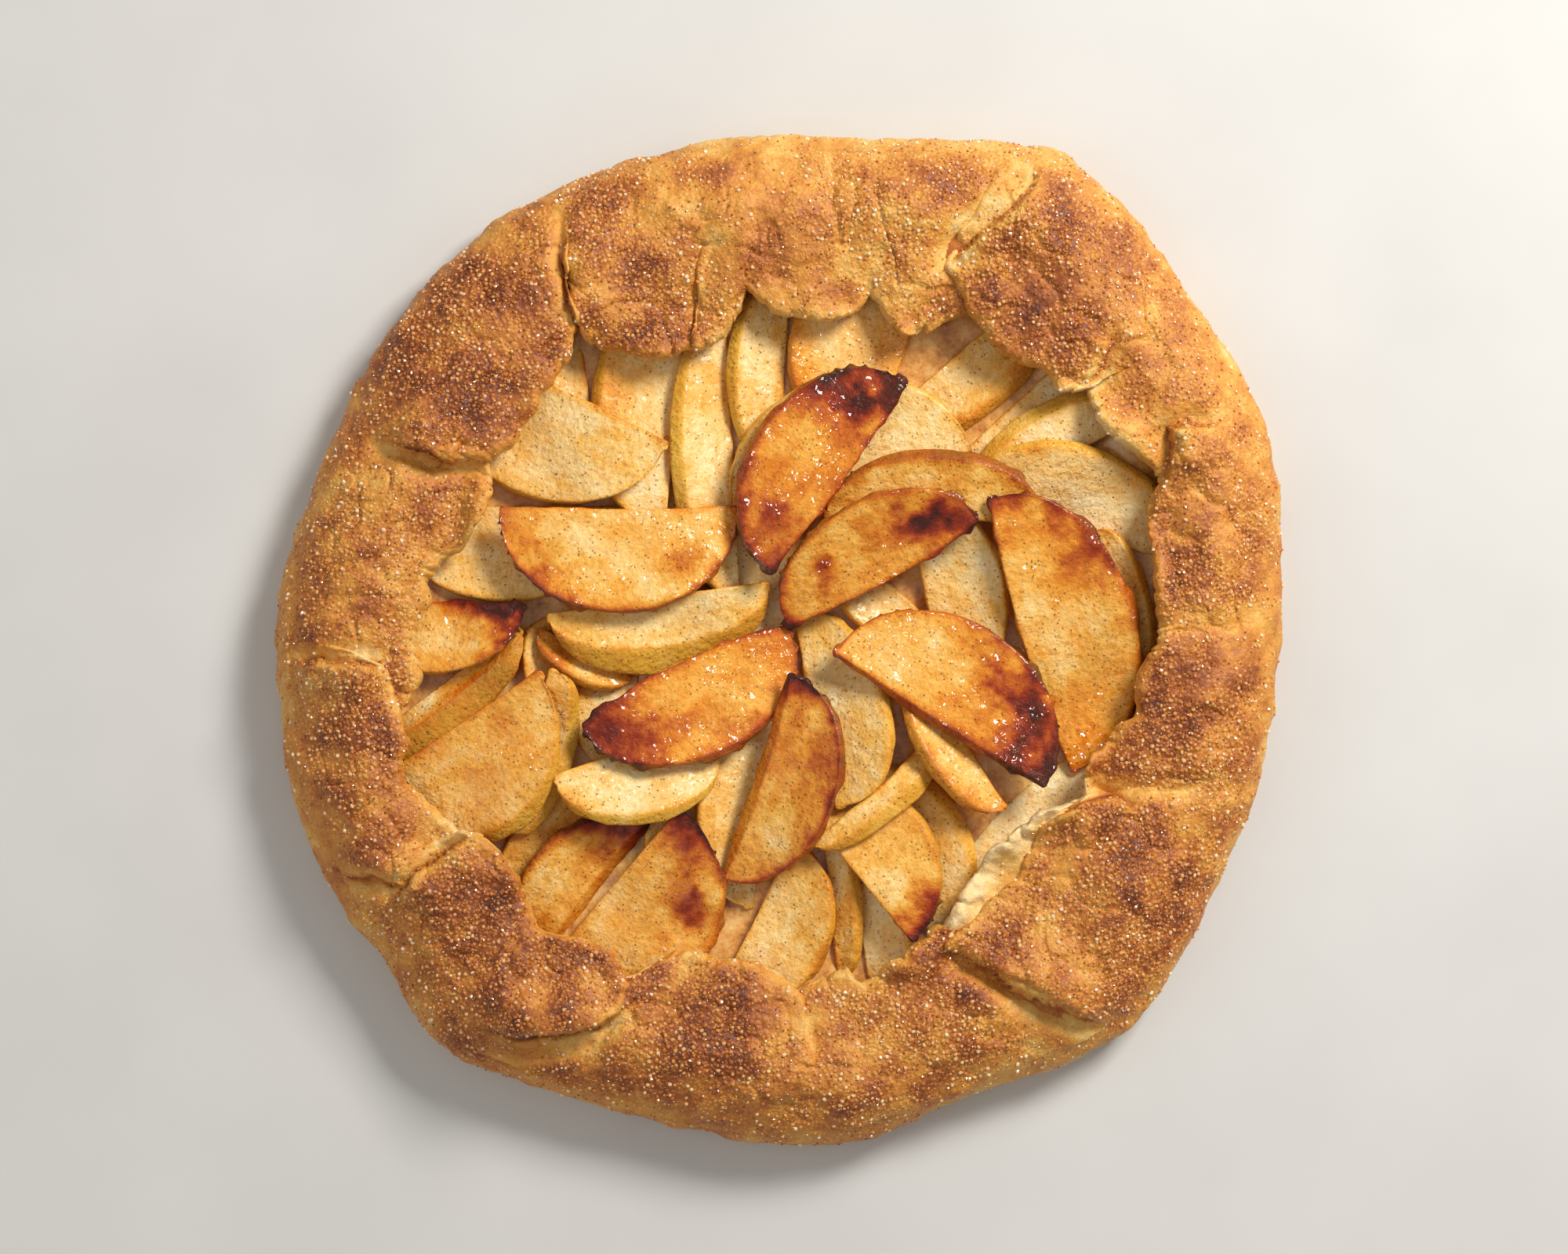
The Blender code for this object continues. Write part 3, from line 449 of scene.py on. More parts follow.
    def build(self, material, number):
        low, high = self.form["ends"]
        bends = np.sin(np.linspace(-math.pi / 2, math.pi / 2, apples["stations"]))
        even = apples["evenness"]
        evened = even * np.linspace(-1, 1, apples["stations"]) + (1 - even) * bends
        u, across, up, coreTop, peelTop = self.section(low + (high - low) * (1 + evened) / 2)
        x, y = self.plan(u[:, None], across)
        z = self.underside(x, y) + up - sampleMap(self.sag, x, y)
        rings = np.stack([x, y, z], 2)
        rings, u, across = self.roundEnds(rings, u, across)
        coreTop, peelTop = (np.pad(top, len(apples["endTurns"]), mode="edge") for top in (coreTop, peelTop))
        count, sides = across.shape
        points = np.concatenate([rings.reshape(-1, 3), [rings[0].mean(0)], [rings[-1].mean(0)]])
        faces = tubeFaces(count, sides)
        first, last = count * sides, count * sides + 1
        for i in range(sides):
            after = (i + 1) % sides
            faces.append((first, i, after))
            faces.append((last, (count - 1) * sides + after, (count - 1) * sides + i))
        marks = self.marks(u, across, coreTop, peelTop, rings, number)
        piece = meshPiece(self.node.replace("apple_slice", "baked_slice"), points, faces, material, marks)
        self.wrinkle(piece.data, marks, number)
        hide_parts(self.node)
        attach(piece, "root")

    def roundEnds(self, rings, u, across):
        turns, more, ends = np.radians(apples["endTurns"]), len(apples["endTurns"]), []
        for ring, way in ((rings[0], -1), (rings[-1], 1)):
            centre = ring.mean(0)
            outward = way * apples["tipRounding"] * np.array([*self.along, 0.0])
            ends.append([centre + (ring - centre) * math.cos(t) + outward * math.sin(t) for t in turns])
        rings = np.concatenate([ends[0][::-1], rings, ends[1]])
        return rings, np.pad(u, more, mode="edge"), np.pad(across, ((more, more), (0, 0)), mode="edge")

    def marks(self, u, across, coreTop, peelTop, rings, number):
        look, at = self.form, np.moveaxis(rings, 2, 0)
        fromPeel = np.maximum(peelTop[:, None] - across, 0)
        fromCore = np.maximum(across - coreTop[:, None], 0)
        along = (u[:, None] + 1) / 2 * self.length + 0 * across
        ragged = layers(*at, apples["ragged"], 1, number)
        toast = layers(*at, apples["clouds"], look["tone"], number)
        bent = layers(*at, apples["fibreBend"], across, number)
        toast = toast + apples["fibreShare"] * softNoise(along / 10, bent / 1.5, 0, 1, number + 5)
        for (amount, reach), distance in ((look["peel"], fromPeel), (look["core"], fromCore)):
            near = distance / (reach * np.maximum(ragged, 0.3))
            toast = toast + amount * np.exp(-near) + 0.25 * amount * np.exp(-near / 4)
        toast = np.minimum(toast, apples["mostToast"] + 0.06 * softNoise(*at, 3, number + 21))
        for (amount, reach), distance in ((look["first"], along), (look["last"], self.length - along)):
            near = distance / (reach * np.maximum(ragged, 0.4))
            toast = toast + amount * np.exp(-near ** 1.3) + 0.25 * amount * np.exp(-near / 2.5)
        width = np.maximum(peelTop - coreTop, 1)[:, None]
        stains = np.random.default_rng(number).uniform(0, 1, (apples["stains"], 4))
        stains = [(a, b, 4 + 6 * c, 0.10 * d) for a, b, c, d in stains]
        for place, share, reach, amount in [*look["spots"], *stains]:
            away = np.hypot(along - place * self.length, (across - coreTop[:, None]) - share * width)
            toast = toast + amount * bell(away, reach * np.maximum(ragged, 0.5))
        yellow = look["yellow"] * (across > peelTop[:, None] - 0.4) * np.clip(1.2 - toast, 0, 1)
        wet = look["wet"] * (0.65 + 0.5 * softNoise(*at, 7, number + 30))
        wet = wet * np.clip(1 - (across - peelTop[:, None]) / 0.8, 0, 1)
        ends = np.zeros(2)
        return {
            "toast": np.concatenate([np.clip(toast, 0, 1).ravel(), toast[[0, -1]].mean(1)]),
            "yellow": np.concatenate([yellow.ravel(), ends]),
            "wet": np.concatenate([np.clip(wet, 0, 1).ravel(), ends]),
        }

    def wrinkle(self, mesh, marks, number):
        points, normals = pointsOf(mesh) / mm, normalsOf(mesh)
        x, y, z = points.T
        along = x * self.along[0] + y * self.along[1]
        across = x * self.left[0] + y * self.left[1]
        toast = np.clip(marks["toast"], 0, 1)
        relief = layers(x, y, z, apples["swell"], seed=number)
        bent = layers(x, y, z, apples["fibreBend"], across, number) - 0.004 * (along - along.mean()) ** 2
        relief += 0.13 * softNoise(along / 11, bent / 1.5, z / 6, 1, number + 5)
        relief += np.clip(toast - 0.45, 0, 1) * (0.3 * softNoise(x, y, z, 1.9, number + 7) + 0.3)
        grooves = np.abs(softNoise(along / 9, across / 2.6, z / 9, 1, number + 13))
        relief -= np.clip(toast * 2.2 - 0.9, 0, 1) * apples["grooveDepth"] * bell(grooves, 0.16)
        relief += 0.035 * softNoise(x, y, z, 0.8, number + 8)
        shrivelled = softNoise(along / 4.5, bent / 1.7, z / 6, 1, number + 11)
        relief += np.clip(marks["wet"] - 0.3, 0, 1) * apples["wettedDepth"] * shrivelled
        upper = np.clip(normals[:, 2] * 2 + 1.2, 0, 1)
        shiftPoints(mesh, (points + normals * (relief * upper)[:, None]) * mm)


# Valleys pressed into the dough: depth, width and route.
creases = [
    (2.4, 3.0, [(-55.6, 112), (-55.4, 104), (-55, 96.6), (-52, 86)]),
    (1.0, 2.6, [(-20, 82), (-17.6, 93.8), (-14, 104)]),
    (2.8, 5.0, [(42.6, 96.6), (49.4, 105.8), (59.4, 115.8), (66, 122)]),
    (1.2, 3.5, [(78, 66), (82, 74), (86, 82)]),
    (1.6, 3.0, [(97.4, 41), (98.6, 51.8), (103.4, 57.4), (112.4, 55)]),
    (1.1, 3.0, [(95, 3.8), (104, 6.4), (110, 8)]),
    (1.6, 3.0, [(76, -37), (89.2, -37.6), (101.4, -38), (109, -36)]),
    (2.2, 3.2, [(44, -80), (64, -91.5), (78.2, -98.5), (90, -101)]),
    (1.4, 2.6, [(9.4, -94), (8.8, -100), (8, -108)]),
    (2.0, 3.0, [(-82, -49), (-90.2, -57), (-95.4, -61), (-103.4, -59.6), (-112, -58.6)]),
    (2.2, 3.2, [(-40, -96), (-49, -102.5), (-64, -105.5), (-79.6, -110)]),
    (1.6, 3.0, [(-102, -3), (-112, -3.6), (-119, -3.8)]),
    (2.0, 3.0, [(-75, 43), (-87.2, 45), (-98, 47.4), (-106, 52)]),
    (0.9, 2.6, [(22.6, 88), (23.4, 95), (26, 102)]),
    (0.9, 3.0, [(-92, 14), (-99, 16), (-106, 20)]),
    (1.0, 4.0, [(-24, -80), (-27, -90), (-33, -100)]),
    (0.8, 3.0, [(66, 70), (70, 78), (70, 88)]),
]

# Edges of flaps that lie on their neighbours: height and route, with the raised dough on its left.
pleats = [
    (2.4, [(-100, -6.4), (-104, -4.8), (-112, -4.2), (-119, -4.6), (-124, -5.4)]),
    (2.0, [(-113, -59.3), (-104.3, -60.2), (-95.8, -62.4)]),
    (2.6, [(-77, -49.4), (-82.7, -52.3), (-87.3, -55.2), (-91.8, -58.6), (-96.4, -64.4)]),
    (2.8, [(-78, -98), (-66.9, -100.5), (-55.6, -100.1), (-46.5, -98.8), (-41, -94.5)]),
    (3.0, [(43.9, -78.3), (51.8, -82.9), (59.7, -87.4), (66.5, -90.8), (74.5, -94.2), (80.1, -97), (89,
     -99)]),
    (2.2, [(116, 56.6), (109.7, 55.1), (104.3, 55.7), (100, 54.3), (99.6, 49.5), (97.6, 42)]),
    (2.4, [(67.6, 122), (64.3, 116.2), (59.5, 110.5), (53.1, 106), (47.8, 101.3), (43.5, 97)]),
    (1.2, [(79, 64.5), (81.5, 70), (84, 76)]),
    (1.6, [(-54, 104), (-55.4, 96.8), (-54.6, 91), (-52.9, 85.3), (-51.1, 79.5)]),
    (1.5, [(92, -43), (88, -38.9), (80.1, -39.6), (70, -44.3)]),
    (2.2, [(-100, 51), (-93, 49.4), (-87, 47), (-82, 45.4)]),
]

# The step at a flap's edge: how its lip is rounded and fades, how its foot is pressed in, and how wide the
# painted shade in its crevice is.
pleatForm = {"rise": 1.25, "rounding": 1.8, "reach": 12, "sink": 0.45, "foot": 4.5, "groove": 0.9,
             "lip": 1.6, "creviceShadeWidth": 0.6}


def besidePath(x, y, path):  # distance from a route, share along it, and whether on its left
    nearest, at = np.full(np.shape(x), 1e9), np.zeros(np.shape(x))
    left = np.zeros(np.shape(x), bool)
    pieces = len(path) - 1
    for k in range(pieces):
        (x0, y0), (x1, y1) = path[k], path[k + 1]
        span = (x1 - x0) ** 2 + (y1 - y0) ** 2
        share = np.clip(((x - x0) * (x1 - x0) + (y - y0) * (y1 - y0)) / span, 0, 1)
        away = np.hypot(x - x0 - share * (x1 - x0), y - y0 - share * (y1 - y0))
        closer = away < nearest
        turned = (x1 - x0) * (y - y0) - (y1 - y0) * (x - x0) > 0
        nearest, at = np.where(closer, away, nearest), np.where(closer, (k + share) / pieces, at)
        left = np.where(closer, turned, left)
    return nearest, at, left


def pleatSteps(x, y):  # height of the flaps' edges, how near their lips and their feet are, and the painted shade along their crevices
    steps, lips, feet, creviceShade = (np.zeros(np.shape(x)) for _ in range(4))
    x, y = wander(x, y, crust["pleatBend"])
    sink, reach = pleatForm["sink"], pleatForm["reach"]
    for height, path in pleats:
        away, share, left = besidePath(x, y, path)
        ends = np.clip(np.minimum(share * 4, (1 - share) * 6 + 0.3), 0, 1) * np.clip(1.6 - away / reach, 0, 1)
        rounded = np.sqrt(1 - np.clip(1 - away / pleatForm["rounding"], 0, 1) ** 2)
        high = (0.25 + 0.75 * rounded) * bell(away, reach)
        low = -sink * bell(away, pleatForm["foot"]) - sink * bell(away, pleatForm["groove"])
        steps += pleatForm["rise"] * height * ends * np.where(left, high, low)
        lips = np.maximum(lips, ends * np.where(left, bell(away, pleatForm["lip"]), 0))
        feet = np.maximum(feet, ends * np.where(left, 0, bell(away, pleatForm["foot"])))
        # a narrow band along each crevice, later painted darker as shade
        creviceShade = np.maximum(creviceShade, ends * bell(away, pleatForm["creviceShadeWidth"]))
    return steps, lips, feet, creviceShade


def creaseDepth(x, y):
    depth = np.zeros(np.shape(x))
    x, y = wander(x, y, crust["creaseBend"])
    for deep, wide, path in creases:
        away, share, _ = besidePath(x, y, path)
        ends = np.clip(np.minimum(share * 5 + 0.5, (1 - share) * 4 + 0.15), 0, 1)
        near = np.minimum(away / wide, 6)
        depth = np.maximum(depth, 1.1 * deep * ends * (0.55 * bell(near) + 0.45 * np.exp(-near * 2.2)))
    return depth


def doughLumps(x, y):  # hand-pressed unevenness, and soft wrinkles
    wrinkle = softNoise(*wander(x, y, crust["wrinkleBend"]), 0, 8, 85)
    return layers(x, y, 0, crust["lumps"]) - 0.9 * bell(wrinkle, 0.10)


def rippleOf(x, y):  # soft unevenness of hand-folded dough
    broad = np.sin(x / 7.3 + 1.1) * np.sin(y / 6.1 - 0.4)
    diagonal = np.sin((x + y) / 4.7) * np.sin((x - y) / 9.1 + 2.0)
    return crust["ripple"] * (0.6 * broad + 0.4 * diagonal)


def rimDome(inset):  # height of the crust this far in from its widest line
    share = np.clip(inset / crust["rounding"], 0, 1)
    settle = np.clip(inset / crust["rounding"] - 1, 0, 1)
    rise = np.sqrt(np.maximum(1 - (1 - share) ** 2, 0))
    top = crust["widestHeight"] + (crust["rimHeight"] - crust["widestHeight"]) * rise
    return top - crust["settling"] * settle


# Clockwise from the far left: free edge, directions of its two sides, lift of each side, how
# far out to the rim that side's step can be seen, and how brown and how sugared the fold is.
folds = [
    dict(name="fold_far_left", rim=(151, 118), lift=(3.2, 2.6), step=(0.8, 0.75), bake=0.61, sugar=1.0,
         edge=[(-87, 47), (-80.5, 45.5), (-73.5, 45), (-69.5, 49), (-62.5, 58), (-58.5, 63), (-54.5, 70),
         (-53, 75.5), (-51.5, 82), (-54, 87.5), (-56, 91.5)]),
    dict(name="fold_far_square", rim=(121, 95), lift=(0.0, 0.4), step=(0.2, 0.2), bake=0.55, sugar=0.95,
         edge=[(-53, 84), (-51.5, 80), (-49, 76), (-36.5, 73.8), (-28.5, 73.4), (-20, 75)]),
    dict(name="fold_far_roll", rim=(97, 92), lift=(2.4, 1.8), step=(0.45, 0.4), bake=0.45, sugar=0.3,
         edge=[(-21, 80), (-20.5, 75.5), (-17.5, 74.3), (-13.5, 78), (-10.2, 85), (-9.6, 91)]),
    dict(name="fold_far_scallops", rim=(94, 56), lift=(1.0, 0.0), step=(0.3, 0.2), bake=0.38, sugar=0.55,
         edge=[(-10, 91.5), (-5.5, 87.2), (1, 83.5), (9.4, 81.8), (17.4, 83), (22.4, 87.4), (27.8, 82),
         (34.4, 79), (40.4, 79.6), (46.5, 83), (53, 87)]),
    dict(name="fold_far_right", rim=(62, 40), lift=(3.2, 2.4), step=(1.0, 0.2), bake=0.50, sugar=0.9,
         edge=[(43, 96), (44, 90.5), (47.5, 84.5), (52.5, 80), (55.2, 75.4), (60.8, 71.4), (66.4, 69),
         (69.6, 66.2), (72.6, 63.2), (76.4, 62.6), (80, 65)]),
    dict(name="fold_right_apron", rim=(43, 20), lift=(0.4, 0.0), step=(0.2, 0.2), bake=0.36, sugar=0.35,
         edge=[(78.5, 64), (81.4, 56.4), (85.2, 51.4), (90.2, 47), (97, 40), (101, 35)]),
    dict(name="fold_right_panel", rim=(24, 1), lift=(3.2, 0.6), step=(0.4, 0.3), bake=0.58, sugar=0.95,
         edge=[(99.8, 54.2), (100, 47.4), (96.6, 39.8), (94.4, 33.6), (94.2, 29.4), (95.2, 22), (95.6,
         11.6), (96, 4)]),
    dict(name="fold_right_cheek", rim=(3, -23), lift=(1.0, 0.0), step=(0.3, 0.2), bake=0.53, sugar=0.75,
         edge=[(96.8, 4.5), (94.4, 0.8), (91.8, -6.4), (91.4, -16), (89, -20.2), (84.8, -25), (81.4, -27.6),
         (77, -32), (76.2, -36), (78, -41)]),
    dict(name="fold_lining", under=True, rim=(-20, -50), lift=(-0.6, -0.6), step=(0.4, 0.4), bake=0.18,
         sugar=0.05, edge=[(78, -40.5), (69.2, -41.8), (60.6, -47), (52.8, -54.8), (47.6, -62.6), (42.4,
         -71), (38, -76)]),
    dict(name="fold_near_right", rim=(-18, -46.5), lift=(2.4, 3.4), step=(0.6, 1.05), bake=0.56, sugar=1.0,
         edge=[(78.4, -39.2), (67.8, -45.6), (64, -52.2), (62, -58.8), (55.4, -65), (47.4, -72.4), (43.8,
         -78)]),
    dict(name="fold_near_hollow", rim=(-44, -93), lift=(0.0, 0.0), step=(0.3, 0.2), bake=0.50, sugar=0.8,
         edge=[(42, -71.5), (35.2, -75), (31.4, -77.6), (26.8, -83.8), (23, -87.4), (17.2, -84.4), (12.4,
         -85.8), (6.8, -87), (1, -91)]),
    dict(name="fold_near_scallop", rim=(-88, -131), lift=(2.4, 0.0), step=(0.5, 0.2), bake=0.54, sugar=0.9,
         edge=[(7.4, -95), (6.2, -90.6), (3.4, -87.6), (-1.4, -83.8), (-6.2, -81), (-11.8, -80.6), (-14.8,
         -81.2), (-17.4, -78.8), (-24.2, -78.2), (-29, -79.4), (-33, -82), (-36, -87), (-41, -93)]),
    dict(name="fold_near_tongue", rim=(-127, -149.5), lift=(3.0, 3.0), step=(0.8, 0.85), bake=0.54,
         sugar=1.0, edge=[(-44, -97), (-39.8, -93), (-38.4, -88.4), (-39.8, -83.8), (-42.4, -79.8), (-47,
         -77.2), (-53, -74.6), (-59, -74), (-61.8, -71.8), (-62.2, -67.8), (-64.2, -63.2), (-67.6, -57.8),
         (-72.2, -53.2), (-75, -50), (-80, -48.8)]),
    dict(name="fold_left_lower", rim=(-147, -178.5), lift=(0.0, 3.2), step=(0.2, 0.6), bake=0.54, sugar=0.9,
         edge=[(-78, -52), (-83.6, -46.6), (-86.8, -44), (-90.2, -40), (-92.8, -36), (-94.8, -30.6), (-94.4,
         -26.6), (-96.2, -22), (-97.4, -14.8), (-98.4, -8.8), (-100.2, -6.2), (-104, -4.8)]),
    dict(name="fold_left_upper", rim=(-174, -212), lift=(0.0, 0.0), step=(0.2, 0.2), bake=0.47, sugar=0.7,
         edge=[(-95, -17), (-92, -13.2), (-91, -9.2), (-92, -0.6), (-91.8, 5), (-89.8, 11.6), (-89.4, 16.4),
         (-84.4, 22), (-80, 23.6), (-76.6, 28), (-75, 33.4), (-73.2, 38.4), (-73.4, 45)]),
]


def smoothPath(points, spacing):
    knots = np.array([points[0], *points, points[-1]], float)
    dense = []
    for k in range(1, len(knots) - 2):
        dense += [curveThrough(*knots[k - 1:k + 3], share) for share in np.linspace(0, 1, 16, endpoint=False)]
    dense = np.array([*dense, knots[-1]])
    length = np.concatenate([[0], np.cumsum(np.linalg.norm(np.diff(dense, axis=0), axis=1))])
    places = np.linspace(0, length[-1], max(12, round(length[-1] / spacing)))
    return np.stack([np.interp(places, length, dense[:, k]) for k in (0, 1)], axis=1), places


def edgeCracks(places, draw):  # depth of the small splits along a free edge
    depth = np.zeros(len(places))
    for _ in range(int(places[-1] / crust["crackEvery"])):
        at, wide, deep = draw.uniform(2, places[-1] - 2), draw.uniform(0.35, 0.8), draw.uniform(0.4, 1.8)
        depth += deep * bell(places - at, wide)
    return depth


def roundedDrop(away, rounding):  # how far a rounded edge has dropped this near to it
    return crust["foldThickness"] / 2 * (1 - np.sqrt(1 - np.clip(1 - away / rounding, 0, 1) ** 2))


def foldSides(fold, places, degrees, share):  # how far each side drops, and what stands proud
    drop, proud = 0.0, 0.0
    byLips = (places, places[-1] - places)
    for side, reach, lift, byLip in zip(fold["flared"], fold["step"], fold["lift"], byLips):
        byRim = np.abs(degrees - side) * math.pi / 180 * rimRadius(degrees)
        away = byLip[:, None] + (byRim - byLip)[:, None] * share
        melt = np.clip((share - reach + 0.2) / 0.4, 0, 1)
        melt = melt * melt * (3 - 2 * melt)
        rolled = roundedDrop(away, crust["sideRounding"])
        ramped = crust["sideDrop"] * np.clip(1 - away / crust["sideRamp"], 0, 1) ** 2
        drop = np.hypot(drop, rolled + (ramped - rolled) * melt)
        standing = np.clip(0.3 * lift, -0.2, 0.9) * np.clip(share * 2 - 1, 0, 1) * (1 - melt)
        proud = proud + standing * np.clip(1 - away / crust["proudReach"], 0, 1)
    return drop, proud


def foldOutline(fold, number):
    draw = np.random.default_rng(crust["seed"] + number)
    edge, places = smoothPath(fold["edge"], crust["step"])
    s = places / places[-1]
    turn = math.copysign(crust["flare"], fold["rim"][1] - fold["rim"][0])
    fold["flared"] = (fold["rim"][0] - turn, fold["rim"][1] + turn)
    degrees = np.interp(s, [0, 1], fold["flared"])
    heading = np.stack([np.cos(np.radians(degrees)), np.sin(np.radians(degrees))], 1)
    outer = heading * (rimRadius(degrees) - crust["shoulder"])[:, None]
    inward = (edge - outer) / np.linalg.norm(edge - outer, axis=1)[:, None]
    cracks = edgeCracks(places, draw)
    torn = layers(*edge.T, 0, [(0.6, 4.2, number), (0.3, 1.4, 5)])
    return edge + inward * (torn - 0.5 * cracks)[:, None], outer, places, s, degrees, heading, cracks


def foldTop(fold, edge, outer, s, share):  # heights of the fold's upper side, and its plan
    xy = edge[:, None] + (outer - edge)[:, None] * share[..., None]
    window = np.clip((1 - share) * 4, 0, 1)
    wobble = [layers(xy[..., 0], xy[..., 1], 0, crust["foldBend"], seed=k) for k in (0, 1)]
    xy = xy + np.stack(wobble, 2) * window[..., None]
    x, y = xy[..., 0], xy[..., 1]
    inset = rimRadius(degreesOf(x, y)) - np.hypot(x, y)
    draped = sampleMap(fold["overApples"], x, y) + crust["clearance"] + crust["foldThickness"]
    dome = rimDome(inset)
    base = np.maximum(dome, draped) + 0.6 * np.exp(-np.abs(dome - draped) / 1.2)
    fade = (1 + np.cos(math.pi * share)) / 2
    lift = np.interp(s, [0, 1], fold["lift"])[:, None]
    swelling = np.sin(math.pi * np.clip(share * 1.1, 0, 1)) ** 0.8
    puff = crust["puff"] * (np.sin(math.pi * s) ** 0.7)[:, None] * swelling
    crest = base + lift * fade ** 0.7
    deep = creaseDepth(x, y)
    steps, *pressedAndShaded = pleatSteps(x, y)
    z = crest + (rippleOf(x, y) * 0.6 + doughLumps(x, y) + puff) * window
    z = z + (steps - deep) * np.clip((1 - share) * 6, 0, 1)
    return x, y, z, np.minimum(crest, z), fade, np.stack([deep, *pressedAndShaded])


def wallSections(shoulderTurn):  # inset, height and slope of the rim's outer side, down to the foot
    rows = []
    for t in np.linspace(shoulderTurn, 0, crust["wallSteps"])[1:]:
        rise = (crust["rimHeight"] - crust["widestHeight"]) * math.sin(t)
        rows.append((crust["rounding"] * (1 - math.cos(t)), crust["widestHeight"] + rise, t))
    for t in np.radians(crust["footTurns"]):
        inset = crust["footRadius"] * (1 - math.cos(t)) + (crust["footRunIn"] if t > 1.5 else 0)
        rows.append((inset, crust["widestHeight"] * (1 - math.sin(t)), -t))
    return rows


def foldWall(degrees, heading, out, shoulderTurn):
    upper, lower, thick = [], [], crust["wallThickness"]
    for inset, height, t in wallSections(shoulderTurn):
        reach = rimRadius(degrees) - inset
        uneven = layers(heading[:, 0] * reach, heading[:, 1] * reach, height, crust["wallLumps"])
        move = (out + uneven) * (1 if t > 0 else math.cos(t))
        side = (reach + move * math.cos(t))[:, None] * heading
        upper.append(np.column_stack([side, np.maximum(height + move * math.sin(t), 0)]))
        inner = (reach - thick * math.cos(t) - (1.5 if t < 0 else 0))[:, None] * heading
        low = max(height - thick * math.sin(t), crust["lowestInside"])
        lower.append(np.column_stack([inner, np.full(len(degrees), low)]))
    return np.stack(upper, 1), np.stack(lower, 1)


def slabFaces(columns, rows):  # an upper and a lower grid, closed all round
    total, faces = columns * rows, []
    for i in range(columns - 1):
        for j in range(rows - 1):
            a, b = i * rows + j, (i + 1) * rows + j
            faces.append((a, b, b + 1, a + 1))
            faces.append((total + a, total + a + 1, total + b + 1, total + b))
    border = [i * rows for i in range(columns)] + [(columns - 1) * rows + j for j in range(1, rows)]
    border += [i * rows + rows - 1 for i in reversed(range(columns - 1))] + list(reversed(range(1, rows - 1)))
    for a, b in zip(border, border[1:] + border[:1]):
        faces.append((b, a, total + a, total + b))
    return faces


def makeFold(fold, overApples, material, number):
    fold["overApples"] = overApples
    under = fold.get("under", False)
    edge, outer, places, s, degrees, heading, cracks = foldOutline(fold, number)
    span = np.linalg.norm(outer - edge, axis=1)
    rows = max(crust["fewestRows"], round(span.mean() / crust["step"]))
    lip, even = np.array(crust["lipRows"]), crust["evenRowsFrom"]
    share = np.array([[*(lip / length), *np.linspace(even / length, 1, rows)] for length in span])
    x, y, z, crest, fade, pressedAndShaded = foldTop(fold, edge, outer, s, share)
    drop, proud = foldSides(fold, places, degrees, share)
    if under:  # keeps inside the flap that covers it
        proud = proud - lining["tuckedIn"] * np.clip(share * 3 - 0.4, 0, 1)
    fromLip = share * span[:, None]
    drop = np.minimum(np.hypot(drop, roundedDrop(fromLip, crust["lipRounding"])), crust["mostDrop"])
    grooves = cracks[:, None] * np.exp(-fromLip / 2.6) * 0.5
    # the way out of the surface turns from straight up to outwards at the shoulder
    shoulderTurn = math.acos(1 - crust["shoulder"] / crust["rounding"])
    tilt = np.interp(share, [0.55, 1], [math.pi / 2, shoulderTurn])
    sunk = proud - drop - grooves
    aside, up = (np.cos(tilt)[..., None] * heading[:, None]), np.sin(tilt)
    upper = np.dstack([x + sunk * aside[..., 0], y + sunk * aside[..., 1], z + sunk * up])
    thick = crust["foldThickness"] + crust["lap"] * fade - 0.3 * drop
    lower = np.dstack([x - thick * aside[..., 0], y - thick * aside[..., 1], crest - thick * up])
    wallUpper, wallLower = foldWall(degrees, heading, proud[:, -1] - drop[:, -1], shoulderTurn)
    upper, lower = np.concatenate([upper, wallUpper], 1), np.concatenate([lower, wallLower], 1)
    wallRows = wallUpper.shape[1]
    fromLip = np.concatenate([fromLip, np.repeat(fromLip[:, -1:] + 4, wallRows, 1)], 1)
    pressedAndShaded = np.concatenate([pressedAndShaded, np.zeros((4, len(s), wallRows))], 2)
    if under:  # its bunched-up dough
        bunched = lining["bunching"] * layers(upper[..., 0], upper[..., 1], 0, lining["bunches"])
        upper[..., 2] += bunched * np.clip(1.3 - fromLip / lining["reach"], 0, 1) * np.clip(fromLip, 0, 1)
    marks = crustMarks(fold, upper, fromLip, *pressedAndShaded)
    marks = {label: np.concatenate([values.ravel(), values.ravel() * 0.3]) for label, values in marks.items()}
    points = np.concatenate([upper.reshape(-1, 3), lower.reshape(-1, 3)])
    piece = meshPiece(fold["name"], points, slabFaces(*upper.shape[:2]), material, marks)
    setOutward(piece.data)
    crumbSurface(piece.data, marks)
    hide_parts("crust")
    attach(piece, "root")
    return piece


# Browner or paler patches of the crust: place, reach and how much browner.
bakedPatches = [
    (56, 96, 13, 0.24), (-66, 68, 14, 0.12), (-84, 56, 12, 0.05), (-70, -64, 13, 0.12), (-60, -86, 14,
    0.04), (50, -74, 12, 0.14), (-96, -24, 12, 0.08), (100, 44, 8, 0.22), (62, 112, 10, -0.10), (112, 50,
    14, 0.04), (92, 84, 18, 0.10), (112, -28, 10, -0.15), (104, -12, 16, 0.14), (70, 78, 14, 0.10), (24,
    -92, 14, -0.06), (-14, -98, 13, 0.16), (-20, -122, 16, 0.10),
]


def roundThePie(x, y, label):  # a fold's own value, smoothly blended with its neighbours'
    shown = [fold for fold in folds if not fold.get("under")]
    middles = [(sum(fold["rim"]) / 2) % 360 for fold in shown]
    return np.interp(degreesOf(x, y) % 360, middles, [fold[label] for fold in shown], period=360)


